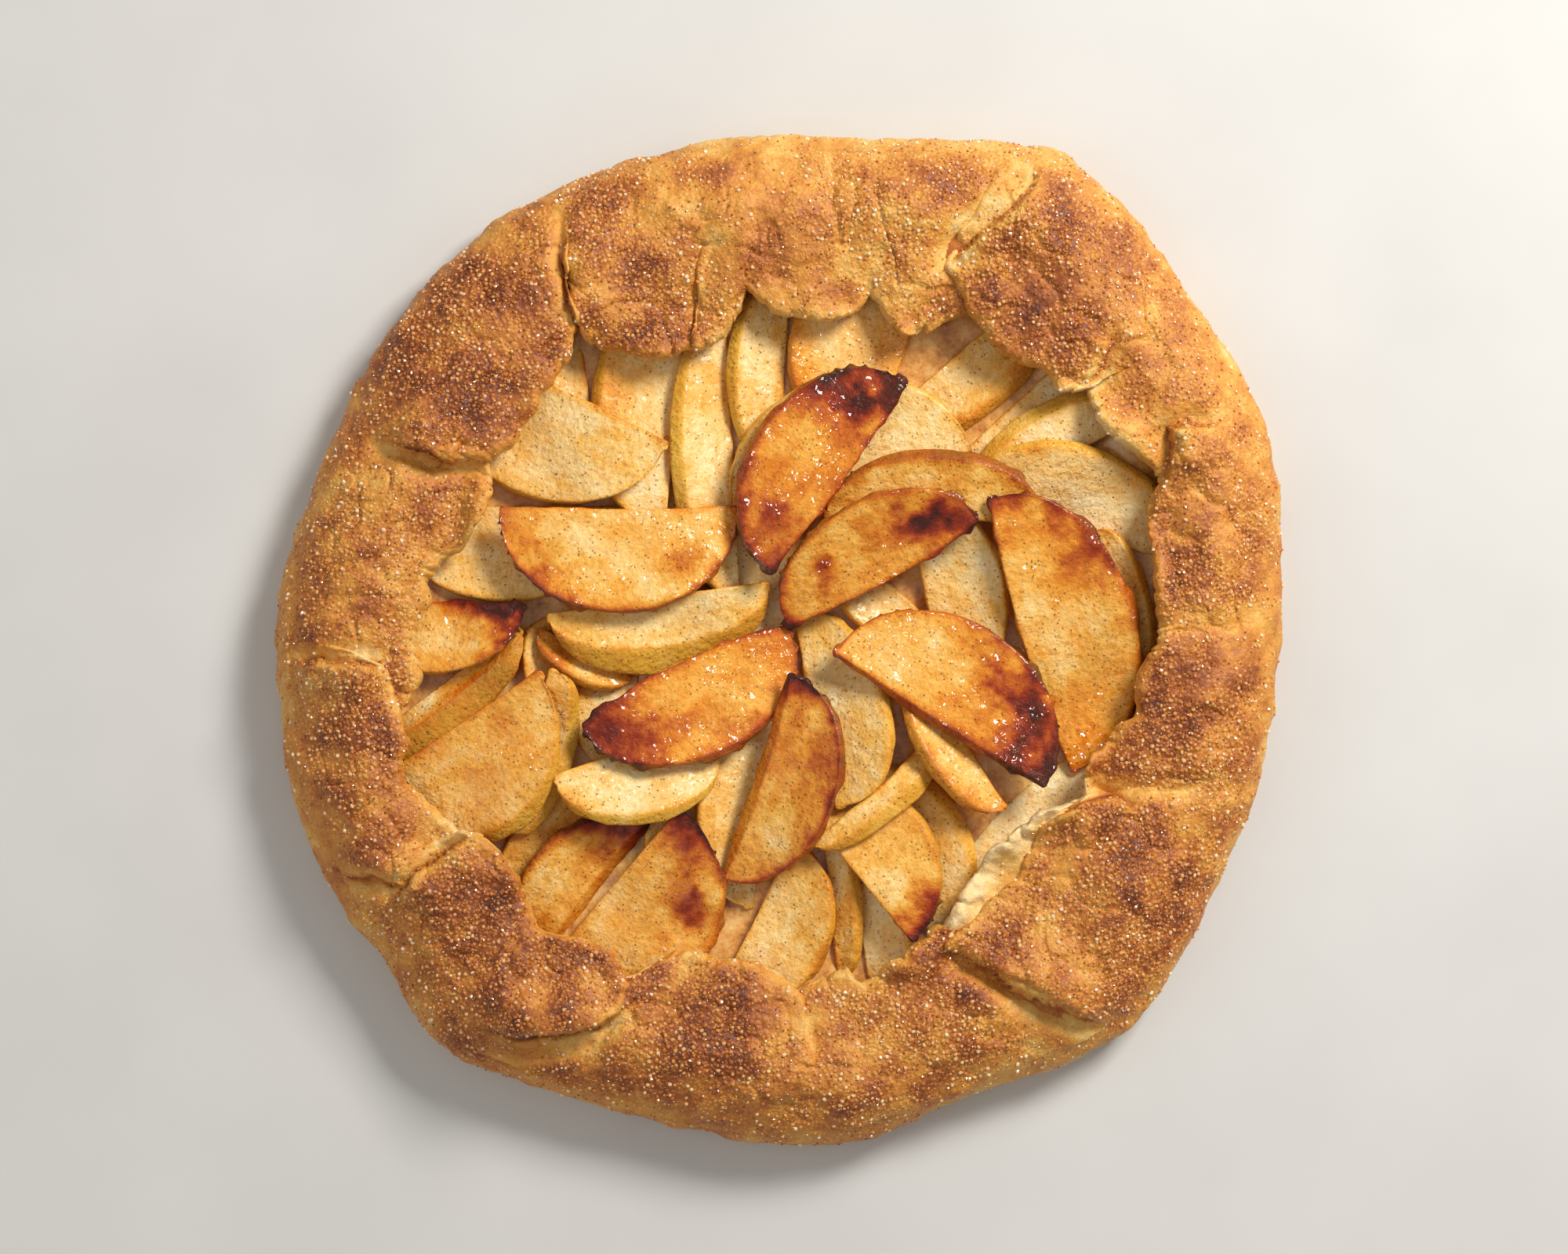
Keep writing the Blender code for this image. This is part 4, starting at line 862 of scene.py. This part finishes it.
def crustMarks(fold, upper, fromLip, deep, lips, feet, creviceShade):  # bake, sugar and lip at each point; bake also holds painted shade along the pleat crevices
    x, y, z = np.moveaxis(upper, 2, 0)
    inset = rimRadius(degreesOf(x, y)) - np.hypot(x, y)
    body = np.clip((fromLip + 0.5) / 5, 0.15, 1) * np.clip((inset + 1.5) / 10, 0.18, 1)
    valley = np.clip(deep / 1.6 + feet, 0, 1)
    under = fold.get("under", False)
    bare = np.clip(2.4 - fromLip / 8, 0, 1) if under else 0.0
    ownBake, ownSugar = (fold[label] * bare + roundThePie(x, y, label) * (1 - bare)
                         for label in ("bake", "sugar"))
    cloud = layers(x, y, 0, crust["clouds"])
    sugar = ownSugar * body * (0.8 + 0.9 * cloud) * (1 - 0.9 * valley) * (1 - 0.6 * lips) + 0.05 * (not under)
    # the pleat crevices are painted darker here: painted shade, not baking
    bake = ownBake - 0.15 + 0.15 * body * (1 + cloud) - 0.24 * valley - 0.12 * lips + 0.4 * creviceShade
    bake = layers(x, y, z, crust["bakeClouds"], bake + 0.05 * doughLumps(x, y))
    bake = bake - 0.06 * np.exp(-fromLip / 2.2) - 0.12 * np.clip(1 - z / 8, 0, 1)
    for atX, atY, reach, more in [] if under else bakedPatches:
        away = np.hypot(x - atX, y - atY) / reach
        bake = bake + more * np.exp(-away ** 2 * (1 + 0.5 * cloud))
        sugar = sugar + 1.2 * max(more, 0) * bell(away)
    return {"bake": np.clip(bake, 0, 1), "sugar": np.clip(sugar, 0.02, 1), "lip": np.exp(-fromLip / 3.0)}


def setOutward(mesh):
    work = bmesh.new()
    work.from_mesh(mesh)
    bmesh.ops.recalc_face_normals(work, faces=work.faces)
    work.to_mesh(mesh)
    work.free()


def crumbSurface(mesh, marks):  # grain of the baked dough
    points, normals = pointsOf(mesh) / mm, normalsOf(mesh)
    x, y, z = points.T
    relief = layers(x, y, z, crust["crumb"])
    relief += (0.10 + 0.16 * marks["lip"]) * softNoise(x, y, z, 1.2, 63)
    relief += marks["sugar"] * 0.16 * softNoise(x, y, z, 1.1, 64)
    moved = points + normals * relief[:, None]
    moved[:, 2] = np.maximum(moved[:, 2], 0)
    shiftPoints(mesh, moved * mm)


crustBody = {
    "stations": 180,
    "foot": [(7.5, 0.0), (3.0, 1.6)],  # how far in, and how high
    "widestInset": 1.4,
    "rimInsets": (0.9, 2.8, 6.0),
    "behind": 1.2,  # how far it keeps behind and below the folds' outer side
    "below": 0.6,
    "shelfFrom": 10,
    "shelfSteps": 5,
    "underFold": 2.6,
    "bake": 0.6,
}


def makeBody(overApples, material):  # floor and inner rim under the folds
    steps, rings = crustBody["stations"], []
    for k in range(steps):
        degrees = 360 * k / steps
        rim, cavity = float(rimRadius(degrees)), float(cavityRadius(degrees))
        way = np.array([math.cos(math.radians(degrees)), math.sin(math.radians(degrees))])
        profile = [(rim - inset, height) for inset, height in crustBody["foot"]]
        profile.append((rim - crustBody["widestInset"], crust["widestHeight"]))
        for inset in crustBody["rimInsets"]:
            profile.append((rim - inset - crustBody["behind"], float(rimDome(inset)) - crustBody["below"]))
        for radius in np.linspace(rim - crustBody["shelfFrom"], cavity, crustBody["shelfSteps"]):
            draped = float(sampleMap(overApples, *(way * radius))) + crust["clearance"]
            draped += crust["foldThickness"]
            profile.append((radius, max(float(rimDome(rim - radius)), draped) - crustBody["underFold"]))
        profile.append((cavity, crust["floorThickness"]))
        rings.append([(*(way * radius), z) for radius, z in profile])
    sides = len(rings[0])
    points = [point for ring in rings for point in ring] + [(0, 0, 0), (0, 0, crust["floorThickness"])]
    faces = []
    for k in range(steps):
        a, b = k * sides, (k + 1) % steps * sides
        faces += [(a + i, b + i, b + i + 1, a + i + 1) for i in range(sides - 1)]
        faces += [(len(points) - 2, b, a), (len(points) - 1, a + sides - 1, b + sides - 1)]
    none = np.zeros(len(points))
    marks = {"bake": none + crustBody["bake"], "sugar": none, "lip": none}
    piece = meshPiece("crust_body", points, faces, material, marks)
    setOutward(piece.data)
    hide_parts("crust")
    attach(piece, "root")


syrupyBed = {
    "stations": 200,
    "rings": 60,
    "raised": 1.1,
    "lumps": [(0.7, 8, 71), (0.3, 3, 72)],
    "moundAt": (89, 49),  # under a gap in the slices
    "moundHeight": 5.5,
    "moundReach": 9,
    "wallRise": 1.2,
    "wallReach": 16,
}


def makeBed(material):  # soft apple and syrup that show in the gaps
    steps, rings = syrupyBed["stations"], syrupyBed["rings"]
    low = crust["floorThickness"] + crust["clearance"]
    points = [(0, 0, crust["bedTop"])]
    for r in range(1, rings + 1):
        for k in range(steps):
            degrees = 360 * k / steps
            radius = (float(cavityRadius(degrees)) - apples["cavityGap"]) * r / rings
            turn = math.radians(degrees)
            points.append((radius * math.cos(turn), radius * math.sin(turn), crust["bedTop"]))
    points += [(x, y, low) for x, y, _ in points[-steps:]] + [(0, 0, low)]
    last = 1 + rings * steps
    faces = [(0, 1 + k, 1 + (k + 1) % steps) for k in range(steps)] + tubeFaces(rings + 1, steps, 1)
    faces += [(last + (k + 1) % steps, last + k, len(points) - 1) for k in range(steps)]
    points = np.array(points)
    x, y, z = points.T
    fromWall = cavityRadius(degreesOf(x, y)) - np.hypot(x, y)
    moundX, moundY = syrupyBed["moundAt"]
    away = (x - moundX) ** 2 + (y - moundY) ** 2
    rise = syrupyBed["raised"] + layers(x, y, 0, syrupyBed["lumps"])
    rise += syrupyBed["moundHeight"] * np.exp(-away / syrupyBed["moundReach"] ** 2)
    rise += syrupyBed["wallRise"] * np.clip(1.1 - fromWall / syrupyBed["wallReach"], 0, 1)
    points[:, 2] += np.where(z > crust["bedTop"] - 0.1, rise, 0)
    piece = meshPiece("syrupy_bed", points, faces, material)
    setOutward(piece.data)
    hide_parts("apple_bed")
    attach(piece, "root")


def colour(red, green, blue):  # display values 0 to 255 to the shader's linear ones
    shares = [c / 255 for c in (red, green, blue)]
    return tuple(((c + 0.055) / 1.055) ** 2.4 if c > 10 / 255 else c / 12.92 for c in shares) + (1.0,)


class Shader:  # a material's node tree, built step by step
    def __init__(self, name):
        self.material = bpy.data.materials.new(name)
        self.material.use_nodes = True
        self.tree = self.material.node_tree
        self.main = self.tree.nodes["Principled BSDF"]

    def feed(self, socket, value):
        if isinstance(value, bpy.types.NodeSocket):
            self.tree.links.new(value, socket)
        else:
            socket.default_value = value

    def feedAll(self, node, sockets):
        for key, value in sockets.items():
            self.feed(node.inputs[key.replace("_", " ")], value)

    def node(self, kind, settings=(), **sockets):
        made = self.tree.nodes.new("ShaderNode" + kind)
        for key, value in dict(settings).items():
            setattr(made, key, value)
        self.feedAll(made, sockets)
        return made

    def set(self, **sockets):
        self.feedAll(self.main, sockets)

    def mark(self, name):
        return self.node("Attribute", {"attribute_name": name}).outputs["Fac"]

    def texture(self, kind, size, **sockets):
        place = self.node("TexCoord").outputs["Object"]
        return self.node(kind, Vector=place, Scale=1 / (size * mm), **sockets).outputs

    def noise(self, size, detail=2.0, roughness=0.5):
        return self.texture("TexNoise", size, Detail=detail, Roughness=roughness)["Fac"]

    def cells(self, size):
        return self.texture("TexVoronoi", size)["Distance"]

    def maths(self, operation, a, b):
        made = self.node("Math", {"operation": operation})
        self.feed(made.inputs[0], a)
        self.feed(made.inputs[1], b)
        return made.outputs[0]

    def plus(self, a, b, times):  # a + (b - 0.5) * times
        return self.maths("ADD", a, self.maths("MULTIPLY", self.maths("SUBTRACT", b, 0.5), times))

    def range(self, value, low, high, start=0.0, end=1.0):
        made = self.node("MapRange", {"clamp": True})
        for socket, given in zip(made.inputs, (value, low, high, start, end)):
            self.feed(socket, given)
        return made.outputs[0]

    def ramp(self, value, stops):
        made = self.node("ValToRGB", Fac=value)
        bar = made.color_ramp
        while len(bar.elements) < len(stops):
            bar.elements.new(0.5)
        for element, (place, shade) in zip(bar.elements, stops):
            element.position = place
            element.color = colour(*shade)
        return made.outputs["Color"]

    def mix(self, share, a, b, blend="MIX"):
        made = self.node("Mix", {"data_type": "RGBA", "blend_type": blend})
        for place, given in ((0, share), (6, a), (7, b)):
            self.feed(made.inputs[place], given)
        return made.outputs[2]

    def darken(self, share, base, value, shade):  # towards the shade where the value is low
        return self.mix(share, base, self.ramp(value, [(0.0, shade), (1.0, (255, 255, 255))]), "MULTIPLY")

    def bump(self, height, strength, distance, normal=None):
        made = self.node("Bump", Height=height, Strength=strength, Distance=distance * mm)
        if normal:
            self.feed(made.inputs["Normal"], normal)
        return made.outputs["Normal"]


def appleMaterial():
    look = {
        "flesh": [(0.0, (255, 240, 196)), (0.14, (251, 222, 156)), (0.28, (243, 193, 96)),
                  (0.42, (224, 153, 50)), (0.56, (196, 108, 32)), (0.70, (158, 60, 18)),
                  (0.84, (120, 32, 12)), (1.0, (66, 18, 12))],
        "clouds": 0.38,  # how much the broad and the small clouds brown the flesh
        "flecks": 0.20,
        "peelSide": (226, 184, 66),
        "speck": (104, 54, 20),
        "stain": (214, 140, 56),
        "grain": (0.22, (212, 188, 150)),
        "mottle": (0.6, (240, 216, 174)),
        "glazeSize": 2.3,
        "glazeDepth": 3.4,
        "glazeTint": (255, 228, 178),
    }
    s = Shader("baked apple")
    toast = s.plus(s.mark("toast"), s.noise(5, 3, 0.6), look["clouds"])
    toast = s.plus(toast, s.noise(1.0, 4, 0.7), look["flecks"])
    flesh = s.ramp(toast, look["flesh"])
    band = s.maths("MULTIPLY", s.mark("yellow"), s.range(s.noise(5, 2), 0.3, 0.6, 0.35, 0.9))
    flesh = s.mix(band, flesh, colour(*look["peelSide"]))
    patches, places = s.range(s.noise(5.3, 1), 0.46, 0.6), s.range(s.noise(2.2, 2), 0.44, 0.56)
    stains = s.maths("MULTIPLY", s.range(s.cells(2.6), 0.10, 0.34, 0.55, 0.0), patches)
    flesh = s.mix(stains, flesh, colour(*look["stain"]), "DARKEN")
    specks = s.maths("MULTIPLY", s.range(s.cells(1.15), 0.12, 0.32, 0.8, 0.0), places)
    flesh = s.mix(specks, flesh, colour(*look["speck"]), "DARKEN")
    share, shade = look["grain"]
    flesh = s.darken(share, flesh, s.range(s.noise(0.55, 2, 0.55), 0.32, 0.64), shade)
    share, shade = look["mottle"]
    flesh = s.darken(share, flesh, s.range(s.noise(1.3, 3, 0.65), 0.35, 0.62), shade)
    bump = s.bump(s.noise(0.55, 3, 0.65), 0.4, 0.2)
    bump = s.bump(s.noise(1.4, 3, 0.6), 0.6, 0.42, bump)
    bump = s.bump(s.noise(2.8, 3, 0.55), 0.7, 0.8, bump)
    pooled = s.range(s.noise(8, 2), 0.42, 0.6, 0.25, 1.0)
    glaze = s.maths("MULTIPLY", pooled, s.range(s.mark("wet"), 0.1, 0.9, 0.3, 1.0))
    glaze = s.bump(s.noise(look["glazeSize"], 1, 0.4), glaze, look["glazeDepth"])
    s.set(Base_Color=flesh, Roughness=s.range(s.noise(2.4, 3), 0.3, 0.7, 0.34, 0.55), Normal=bump,
          Subsurface_Weight=0.20, Subsurface_Scale=0.0014, Subsurface_Radius=(1.0, 0.6, 0.3),
          Specular_IOR_Level=0.22, Coat_Weight=s.range(s.mark("wet"), 0.1, 0.8), Coat_Roughness=0.12,
          Coat_IOR=1.5, Coat_Tint=colour(*look["glazeTint"]), Coat_Normal=glaze)
    return s.material


def pastryMaterial():
    look = {
        "dough": [(0.0, (250, 222, 164)), (0.20, (242, 194, 104)), (0.38, (229, 160, 62)),
                  (0.54, (208, 130, 46)), (0.70, (172, 92, 32)), (0.85, (128, 62, 22)), (1.0, (90, 42, 16))],
        "clouds": 0.46,  # how much the broad and the small clouds brown the dough
        "flecks": 0.42,
        "grain": (190, 172, 152),
        "sugarSize": 1.25,
    }
    s = Shader("baked pastry")
    sugar, grains = s.mark("sugar"), s.cells(look["sugarSize"])
    # the bake mark also holds the painted shade along the pleat crevices
    bake = s.plus(s.mark("bake"), s.noise(7, 4, 0.65), look["clouds"])
    bake = s.plus(bake, s.noise(1.7, 4, 0.75), look["flecks"])
    bake = s.maths("ADD", bake, s.maths("MULTIPLY", sugar, s.range(grains, 0.1, 0.7, -0.12, 0.18)))
    dough = s.ramp(bake, look["dough"])
    dough = s.darken(0.45, dough, s.range(s.noise(0.5, 3, 0.65), 0.3, 0.7), look["grain"])
    bump = s.bump(s.noise(0.55, 3, 0.65), 0.6, 0.18)
    bump = s.bump(s.noise(1.9, 4, 0.65), 0.85, 0.75, bump)
    bump = s.bump(s.maths("MULTIPLY", sugar, s.range(grains, 0.0, 0.6, 1.0, 0.0)), 0.9, 0.55, bump)
    s.set(Base_Color=dough, Roughness=s.range(sugar, 0, 1, 0.55, 0.36), Normal=bump,
          Subsurface_Weight=0.05, Subsurface_Scale=0.001)
    return s.material


def sugarMaterial():
    s = Shader("coarse sugar")
    shade = s.plus(s.mark("shade"), s.mark("bake"), -0.7)
    shade = s.ramp(shade, [(0.0, (128, 64, 26)), (0.35, (188, 112, 48)), (0.7, (224, 158, 90)),
                           (0.92, (236, 188, 130)), (1.0, (246, 216, 178))])
    s.set(Base_Color=shade, Roughness=0.12, Subsurface_Weight=0.3, Subsurface_Scale=0.0008,
          Coat_Weight=0.6, Coat_Roughness=0.04)
    return s.material


def syrupMaterial():
    s = Shader("apple syrup")
    shade = s.plus(s.noise(5, 4, 0.65), s.noise(0.9, 3, 0.7), 0.4)
    shade = s.ramp(shade, [(0.25, (156, 84, 26)), (0.5, (224, 160, 78)), (0.75, (246, 208, 134))])
    s.set(Base_Color=shade, Roughness=0.22, Normal=s.bump(s.noise(2.5, 3), 0.4, 0.4),
          Coat_Weight=0.5, Coat_Roughness=0.06)
    return s.material


def floorMaterial():
    s = Shader("pale floor")
    s.set(Base_Color=s.ramp(s.noise(60, 3), [(0.3, (206, 204, 200)), (0.7, (212, 210, 206))]), Roughness=0.7)
    return s.material


# Two kinds of grain: how many to a square millimetre at most, how close, radius from and to.
sugarKinds = [
    dict(name="coarse_sugar", most=0.84, closest=1.08, smallest=0.42, largest=0.68, seed=5,
         shape="IcoSphere", cuts={"Subdivisions": 1, "Radius": 1.0}),
    dict(name="fine_sugar", most=1.34, closest=0.62, smallest=0.22, largest=0.38, seed=9,
         shape="UVSphere", cuts={"Segments": 4, "Rings": 2, "Radius": 1.0}),
]
grainForm = {"narrowest": (0.75, 0.6, 0.65), "widest": (1.15, 1.0, 1.0)}


def sugarTree(kind, material):
    tree = bpy.data.node_groups.new("scatter " + kind["name"], "GeometryNodeTree")
    inputs = {"Geometry": "Geometry", "Density": "Float", "Closest": "Float", "Smallest": "Float",
              "Largest": "Float", "Seed": "Int"}
    for label, sort in inputs.items():
        tree.interface.new_socket(label, in_out="INPUT", socket_type="NodeSocket" + sort)
    tree.interface.new_socket("Geometry", in_out="OUTPUT", socket_type="NodeSocketGeometry")

    def node(sort, values=(), **settings):
        made = tree.nodes.new(sort)
        for key, value in settings.items():
            setattr(made, key, value)
        for socket, value in dict(values).items():
            made.inputs[socket].default_value = value
        return made

    start, end = node("NodeGroupInput"), node("NodeGroupOutput")
    points = node("GeometryNodeDistributePointsOnFaces", distribute_method="POISSON")
    sugar = node("GeometryNodeInputNamedAttribute", {"Name": "sugar"}, data_type="FLOAT")
    grain = node("GeometryNodeMesh" + kind["shape"], kind["cuts"])
    spread = node("GeometryNodeInstanceOnPoints")
    turn = node("FunctionNodeRandomValue", {"Max": (math.tau,) * 3}, data_type="FLOAT_VECTOR")
    flat = node("FunctionNodeRandomValue", {"Min": grainForm["narrowest"], "Max": grainForm["widest"]},
                data_type="FLOAT_VECTOR")
    size, shade = (node("FunctionNodeRandomValue", data_type="FLOAT") for _ in range(2))
    scale = node("ShaderNodeVectorMath", operation="SCALE")
    keep = node("GeometryNodeStoreNamedAttribute", {"Name": "shade"}, data_type="FLOAT", domain="INSTANCE")
    real = node("GeometryNodeRealizeInstances")
    smooth = node("GeometryNodeSetShadeSmooth", {"Shade Smooth": False})
    paint = node("GeometryNodeSetMaterial", {"Material": material})
    links = [
        (start, "Geometry", points, "Mesh"), (start, "Density", points, "Density Max"),
        (start, "Closest", points, "Distance Min"), (start, "Seed", points, "Seed"),
        (sugar, "Attribute", points, "Density Factor"), (points, "Points", spread, "Points"),
        (grain, "Mesh", spread, "Instance"), (turn, "Value", spread, "Rotation"),
        (start, "Smallest", size, 2), (start, "Largest", size, 3), (flat, "Value", scale, 0),
        (size, 1, scale, "Scale"), (scale, 0, spread, "Scale"), (spread, "Instances", keep, "Geometry"),
        (shade, 1, keep, "Value"), (keep, "Geometry", real, "Geometry"),
        (real, "Geometry", smooth, "Geometry"), (smooth, "Geometry", paint, "Geometry"),
        (paint, "Geometry", end, "Geometry"),
    ]
    for source, output, target, socket in links:
        tree.links.new(source.outputs[output], target.inputs[socket])
    return tree


def sugaredSkin(pieces):  # the upper faces of the folds, to scatter on
    work = bmesh.new()
    for piece in pieces:
        work.from_mesh(piece.data)
    layer = work.verts.layers.float["sugar"]
    bare = [face for face in work.faces if face.normal.z < 0.15 or max(v[layer] for v in face.verts) < 0.01]
    bmesh.ops.delete(work, geom=bare, context="FACES")
    mesh = bpy.data.meshes.new("sugared skin")
    work.to_mesh(mesh)
    work.free()
    skin = bpy.data.objects.new("sugared_skin", mesh)
    bpy.context.scene.collection.objects.link(skin)
    return skin


def scatterSugar(skin, kind, material):
    tree = sugarTree(kind, material)
    modifier = skin.modifiers.new("sugar", "NODES")
    modifier.node_group = tree
    values = {"Density": kind["most"] / mm ** 2, "Closest": kind["closest"] * mm,
              "Smallest": kind["smallest"] * mm, "Largest": kind["largest"] * mm, "Seed": kind["seed"]}
    for item in tree.interface.items_tree:
        if item.in_out == "INPUT" and item.name in values:
            modifier[item.identifier] = values[item.name]
    bpy.context.view_layer.update()
    graph = bpy.context.evaluated_depsgraph_get()
    made = bpy.data.meshes.new_from_object(skin.evaluated_get(graph))
    skin.modifiers.clear()
    piece = bpy.data.objects.new(kind["name"], made)
    bpy.context.scene.collection.objects.link(piece)
    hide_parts("crust")
    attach(piece, "root")
    print(kind["name"], "faces:", len(made.polygons))


camera = {"lens": 103.5, "sensor": 36, "farClip": 10, "distance": 1150.0, "lookAt": (1.4, 3.8),
          "focusHeight": 18.0}
studio = {"air": (1.0, 0.985, 0.96, 1), "airLight": 0.34, "floorReach": 4000, "floorDrop": 0.4}
lights = [
    dict(name="key", at=(640, 660, 800), size=(400, 340), watts=16.6, tint=(1.0, 0.98, 0.95)),
    dict(name="fill", at=(-640, -180, 800), size=(900, 900), watts=1.6, tint=(1.0, 0.99, 0.97)),
]


def setStage():
    reach, drop = studio["floorReach"], studio["floorDrop"]
    corners = [(i * reach, j * reach, -drop) for i, j in ((-1, -1), (1, -1), (1, 1), (-1, 1))]
    floor = meshPiece("floor", corners, [(0, 1, 2, 3)], floorMaterial())
    for light in lights:
        data = bpy.data.lights.new(light["name"], "AREA")
        data.shape = "RECTANGLE"
        data.size, data.size_y = (side * mm for side in light["size"])
        data.energy = light["watts"]
        data.color = light["tint"]
        lamp = bpy.data.objects.new(light["name"], data)
        lamp.location = Vector(light["at"]) * mm
        lamp.rotation_euler = (-lamp.location).to_track_quat("-Z", "Y").to_euler()
        bpy.context.scene.collection.objects.link(lamp)
    world = bpy.data.worlds.new("studio")
    world.use_nodes = True
    air = world.node_tree.nodes["Background"]
    air.inputs["Color"].default_value = studio["air"]
    air.inputs["Strength"].default_value = studio["airLight"]
    bpy.context.scene.world = world
    data = bpy.data.cameras.new("overhead")
    data.lens = camera["lens"]
    data.sensor_width = camera["sensor"]
    data.clip_end = camera["farClip"]
    eye = bpy.data.objects.new("overhead", data)
    x, y = np.array(camera["lookAt"]) - middle
    eye.location = Vector((x, y, camera["distance"] + camera["focusHeight"])) * mm
    bpy.context.scene.collection.objects.link(eye)
    bpy.context.scene.camera = eye
    bpy.context.scene.view_settings.view_transform = "Standard"


def layApples(material):
    steps = np.arange(-heapHalf, heapHalf + 1) * heapCell
    x, y = np.meshgrid(steps, steps, indexing="ij")
    heap = np.full(x.shape, crust["bedTop"])
    for number, row in enumerate(slices, 1):
        apple = AppleSlice(row, f"apple_slice_{number:02d}")
        heap = apple.layDown(heap, x, y)
        apple.build(material, number)
    return overDisc(overDisc(heap, crust["drapeReach"], np.maximum), crust["drapeSoftness"], np.add)


setStage()
print("stage set")
overApples = layApples(appleMaterial())
makeBed(syrupMaterial())
print("apples laid:", len(slices))
pastry = pastryMaterial()
makeBody(overApples, pastry)
foldPieces = [makeFold(fold, overApples, pastry, number) for number, fold in enumerate(folds)]
print("folds made:", len(foldPieces))
sugarFinish = sugarMaterial()
skin = sugaredSkin(foldPieces)
for kind in sugarKinds:
    scatterSugar(skin, kind, sugarFinish)
bpy.data.objects.remove(skin, do_unlink=True)
